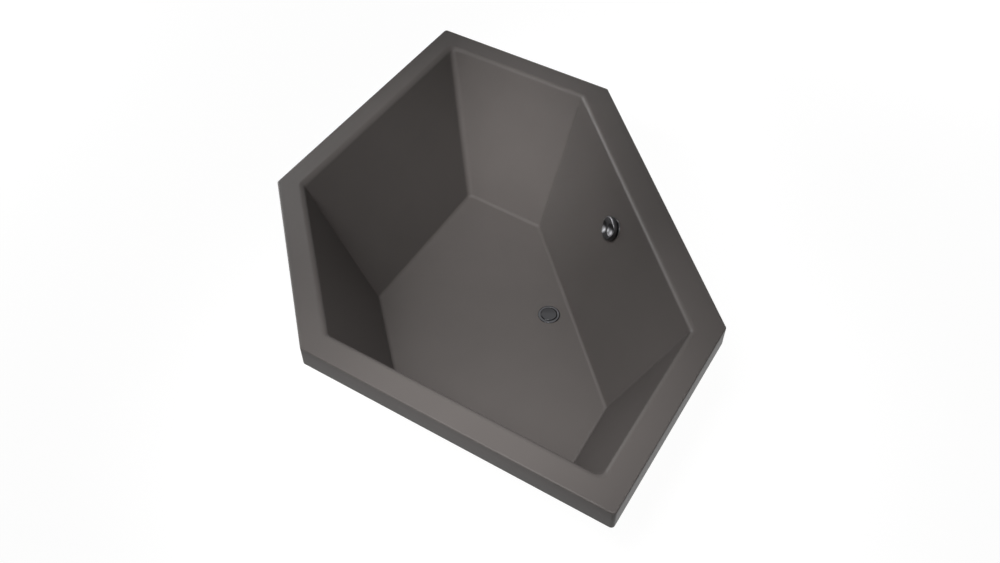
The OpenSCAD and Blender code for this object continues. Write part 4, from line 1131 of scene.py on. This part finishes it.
def cablePoints():
    # From the overflow's gland down behind the wall, in a bow under the floor, into the waste's gland
    across, depth = cable["glandAcross"], cable["glandDepth"]
    points = [overflowFrame @ Vector(p) for p in (
        (across, -cable["glandFrom"] - 0.001, depth), (across, -cable["glandTo"] - 0.024, depth),
        (across + 0.002, -0.200, hose["spoutDepth"]), (across + 0.005, -0.330, hose["spoutDepth"]))]
    points += [wasteFrame @ Vector((x, y, cable["wireHeight"] + z)) for x, y, z in (
        (0.034, 0.090, -0.008), (0.058, 0.062, -0.014), (0.080, 0.036, -0.014), (0.077, 0.010, -0.009),
        (0.062, 0.001, -0.003), (0.050, 0, 0), (cable["sheathFrom"], 0, 0))]
    return points


def smoothPath(points, steps):
    path = []
    for i in range(len(points) - 1):
        b, c = points[i], points[i + 1]
        a = points[i - 1] if i else b * 2 - c
        d = points[i + 2] if i + 2 < len(points) else c * 2 - b
        for j in range(steps):
            w = j / steps
            path.append(0.5 * (b * 2 + (c - a) * w + (a * 2 - b * 5 + c * 4 - d) * w ** 2
                               + (b * 3 - a - c * 3 + d) * w ** 3))
    return path + [points[-1]]


def makeCable():
    path = smoothPath(cablePoints(), cable["steps"])
    piece = skinOnPath("pull_cable_cover", path, "pull_cable", cable["radius"], cable["radius"],
                       Waves=1, Steps=180, Sides=20, Closed=True)
    outward(piece)
    finishPiece(piece, "pull_cable", 50)


makeHose()
makeCollar("hose_collar_upper", spoutFrame @ Matrix.Translation((0, 0, hose["upperBoss"])))
makeCollar("hose_collar_lower", inletFrame @ Matrix.Translation((0, 0, hose["lowerBoss"])))
makeCable()
print("overflow, hose and cable made")

for node in cad:
    if not cad[node].hide_render:
        cad[node].data.materials.clear()
        cad[node].data.materials.append(finish[slotOf[node]])

# Camera, where the photograph was taken from
camera = newObject("camera", bpy.data.cameras.new("camera"))
camera.location = (1.1331, -1.9235, 2.9078)
camera.rotation_euler = (radians(41.28), 0, radians(31.5))
camera.data.lens = 35.975
camera.data.sensor_width = 36
camera.data.clip_start = 0.05
camera.data.clip_end = 60
bpy.context.scene.camera = camera

# Floor: white where the camera and mirrors see it, with a part of it left to take the object's shadow
studio = {"floorSize": 14.0, "shadowShare": 0.12, "lampLight": 0.35, "floorGrey": 0.42, "ambient": 0.12}


def mixOf(share, first, second):
    mix = share.id_data.nodes.new("ShaderNodeMixShader")
    for socket, value in zip(mix.inputs, (share, first, second)):
        give(socket, value)
    return mix


def seenPlainly(tree):
    # One for what the camera, a mirror or glass looks at
    path = tree.nodes.new("ShaderNodeLightPath").outputs
    either = calculate("MAXIMUM", path["Is Camera Ray"], path["Is Glossy Ray"])
    return calculate("MAXIMUM", either, path["Is Transmission Ray"])


def studioFloor():
    size = studio["floorSize"]
    corners = [(-size, -size, 0), (size, -size, 0), (size, size, 0), (-size, size, 0)]
    piece = meshObject("studio_floor", corners, [(0, 1, 2, 3)])
    material = bpy.data.materials.new("studio_floor")
    material.use_nodes = True
    tree = material.node_tree
    tree.nodes.clear()
    matt, shadowed = [added(tree, "ShaderNodeBsdfDiffuse", Color=(studio[grey],) * 3 + (1,))
                      for grey in ("floorGrey", "shadowShare")]
    glow = added(tree, "ShaderNodeEmission", Strength=1 - studio["lampLight"] * studio["shadowShare"])
    both = tree.nodes.new("ShaderNodeAddShader")
    give(both.inputs[0], shadowed)
    give(both.inputs[1], glow)
    above = mixOf(seenPlainly(tree), matt, both)
    # From below, the floor lets the underside be seen
    clear = tree.nodes.new("ShaderNodeBsdfTransparent")
    below = tree.nodes.new("ShaderNodeNewGeometry").outputs["Backfacing"]
    added(tree, "ShaderNodeOutputMaterial", Surface=mixOf(below, above, clear))
    piece.data.materials.append(material)


def studioWorld():
    world = bpy.data.worlds.new("studio")
    bpy.context.scene.world = world
    world.use_nodes = True
    tree = world.node_tree
    tree.nodes.clear()
    dim, white = [added(tree, "ShaderNodeBackground", Color=(1, 1, 1, 1), Strength=strength)
                  for strength in (studio["ambient"], 1)]
    added(tree, "ShaderNodeOutputWorld", Surface=mixOf(seenPlainly(tree), dim, white))


def softLamp(name, place, target, width, height, power, beam=180):
    lamp = bpy.data.lights.new(name, "AREA")
    lamp.shape = "RECTANGLE"
    lamp.size, lamp.size_y = width, height
    lamp.energy = power
    lamp.spread = radians(beam)
    piece = newObject(name, lamp)
    piece.location = place
    piece.rotation_euler = (Vector(target) - Vector(place)).to_track_quat("-Z", "Y").to_euler()
    piece.visible_camera = False
    return piece


studioFloor()
studioWorld()
# Four above the tub, as in the photo, then two low ones for its outer sides
softLamp("over the basin", (0.5, -1.2, 2.4), (0.32, -0.4, 0.35), 0.7, 0.7, 6.4, 55)
softLamp("over the wall side", (-0.2, -1.6, 2.6), (0, -0.6, 0.5), 0.7, 0.7, 3.6, 50)
softLamp("on the far end", (-0.35, -1.0, 2.0), (-0.35, 0.6, 0.36), 0.7, 0.7, 3.8, 32)
softLamp("behind", (-1.05, 1.82, 4.04), (0, 0, 0.4), 2.0, 2.0, 4)
softLamp("low at the end", (0.4, 3.6, 0.3), (0, 0, 0.3), 2.4, 0.5, 30)
softLamp("low at the wall", (-3.6, -0.4, 0.3), (0, 0, 0.3), 2.4, 0.5, 30)
# The last gives only the line of light along the rounded edge between rim and front wall
sheen = softLamp("on the front edge", (-2.5, 0.3, 1.62), (0.35, 0.35, 0.66), 2.0, 1.2, 100)
sheen.visible_diffuse = False
bpy.context.scene.view_settings.view_transform = "Standard"
print("studio made")
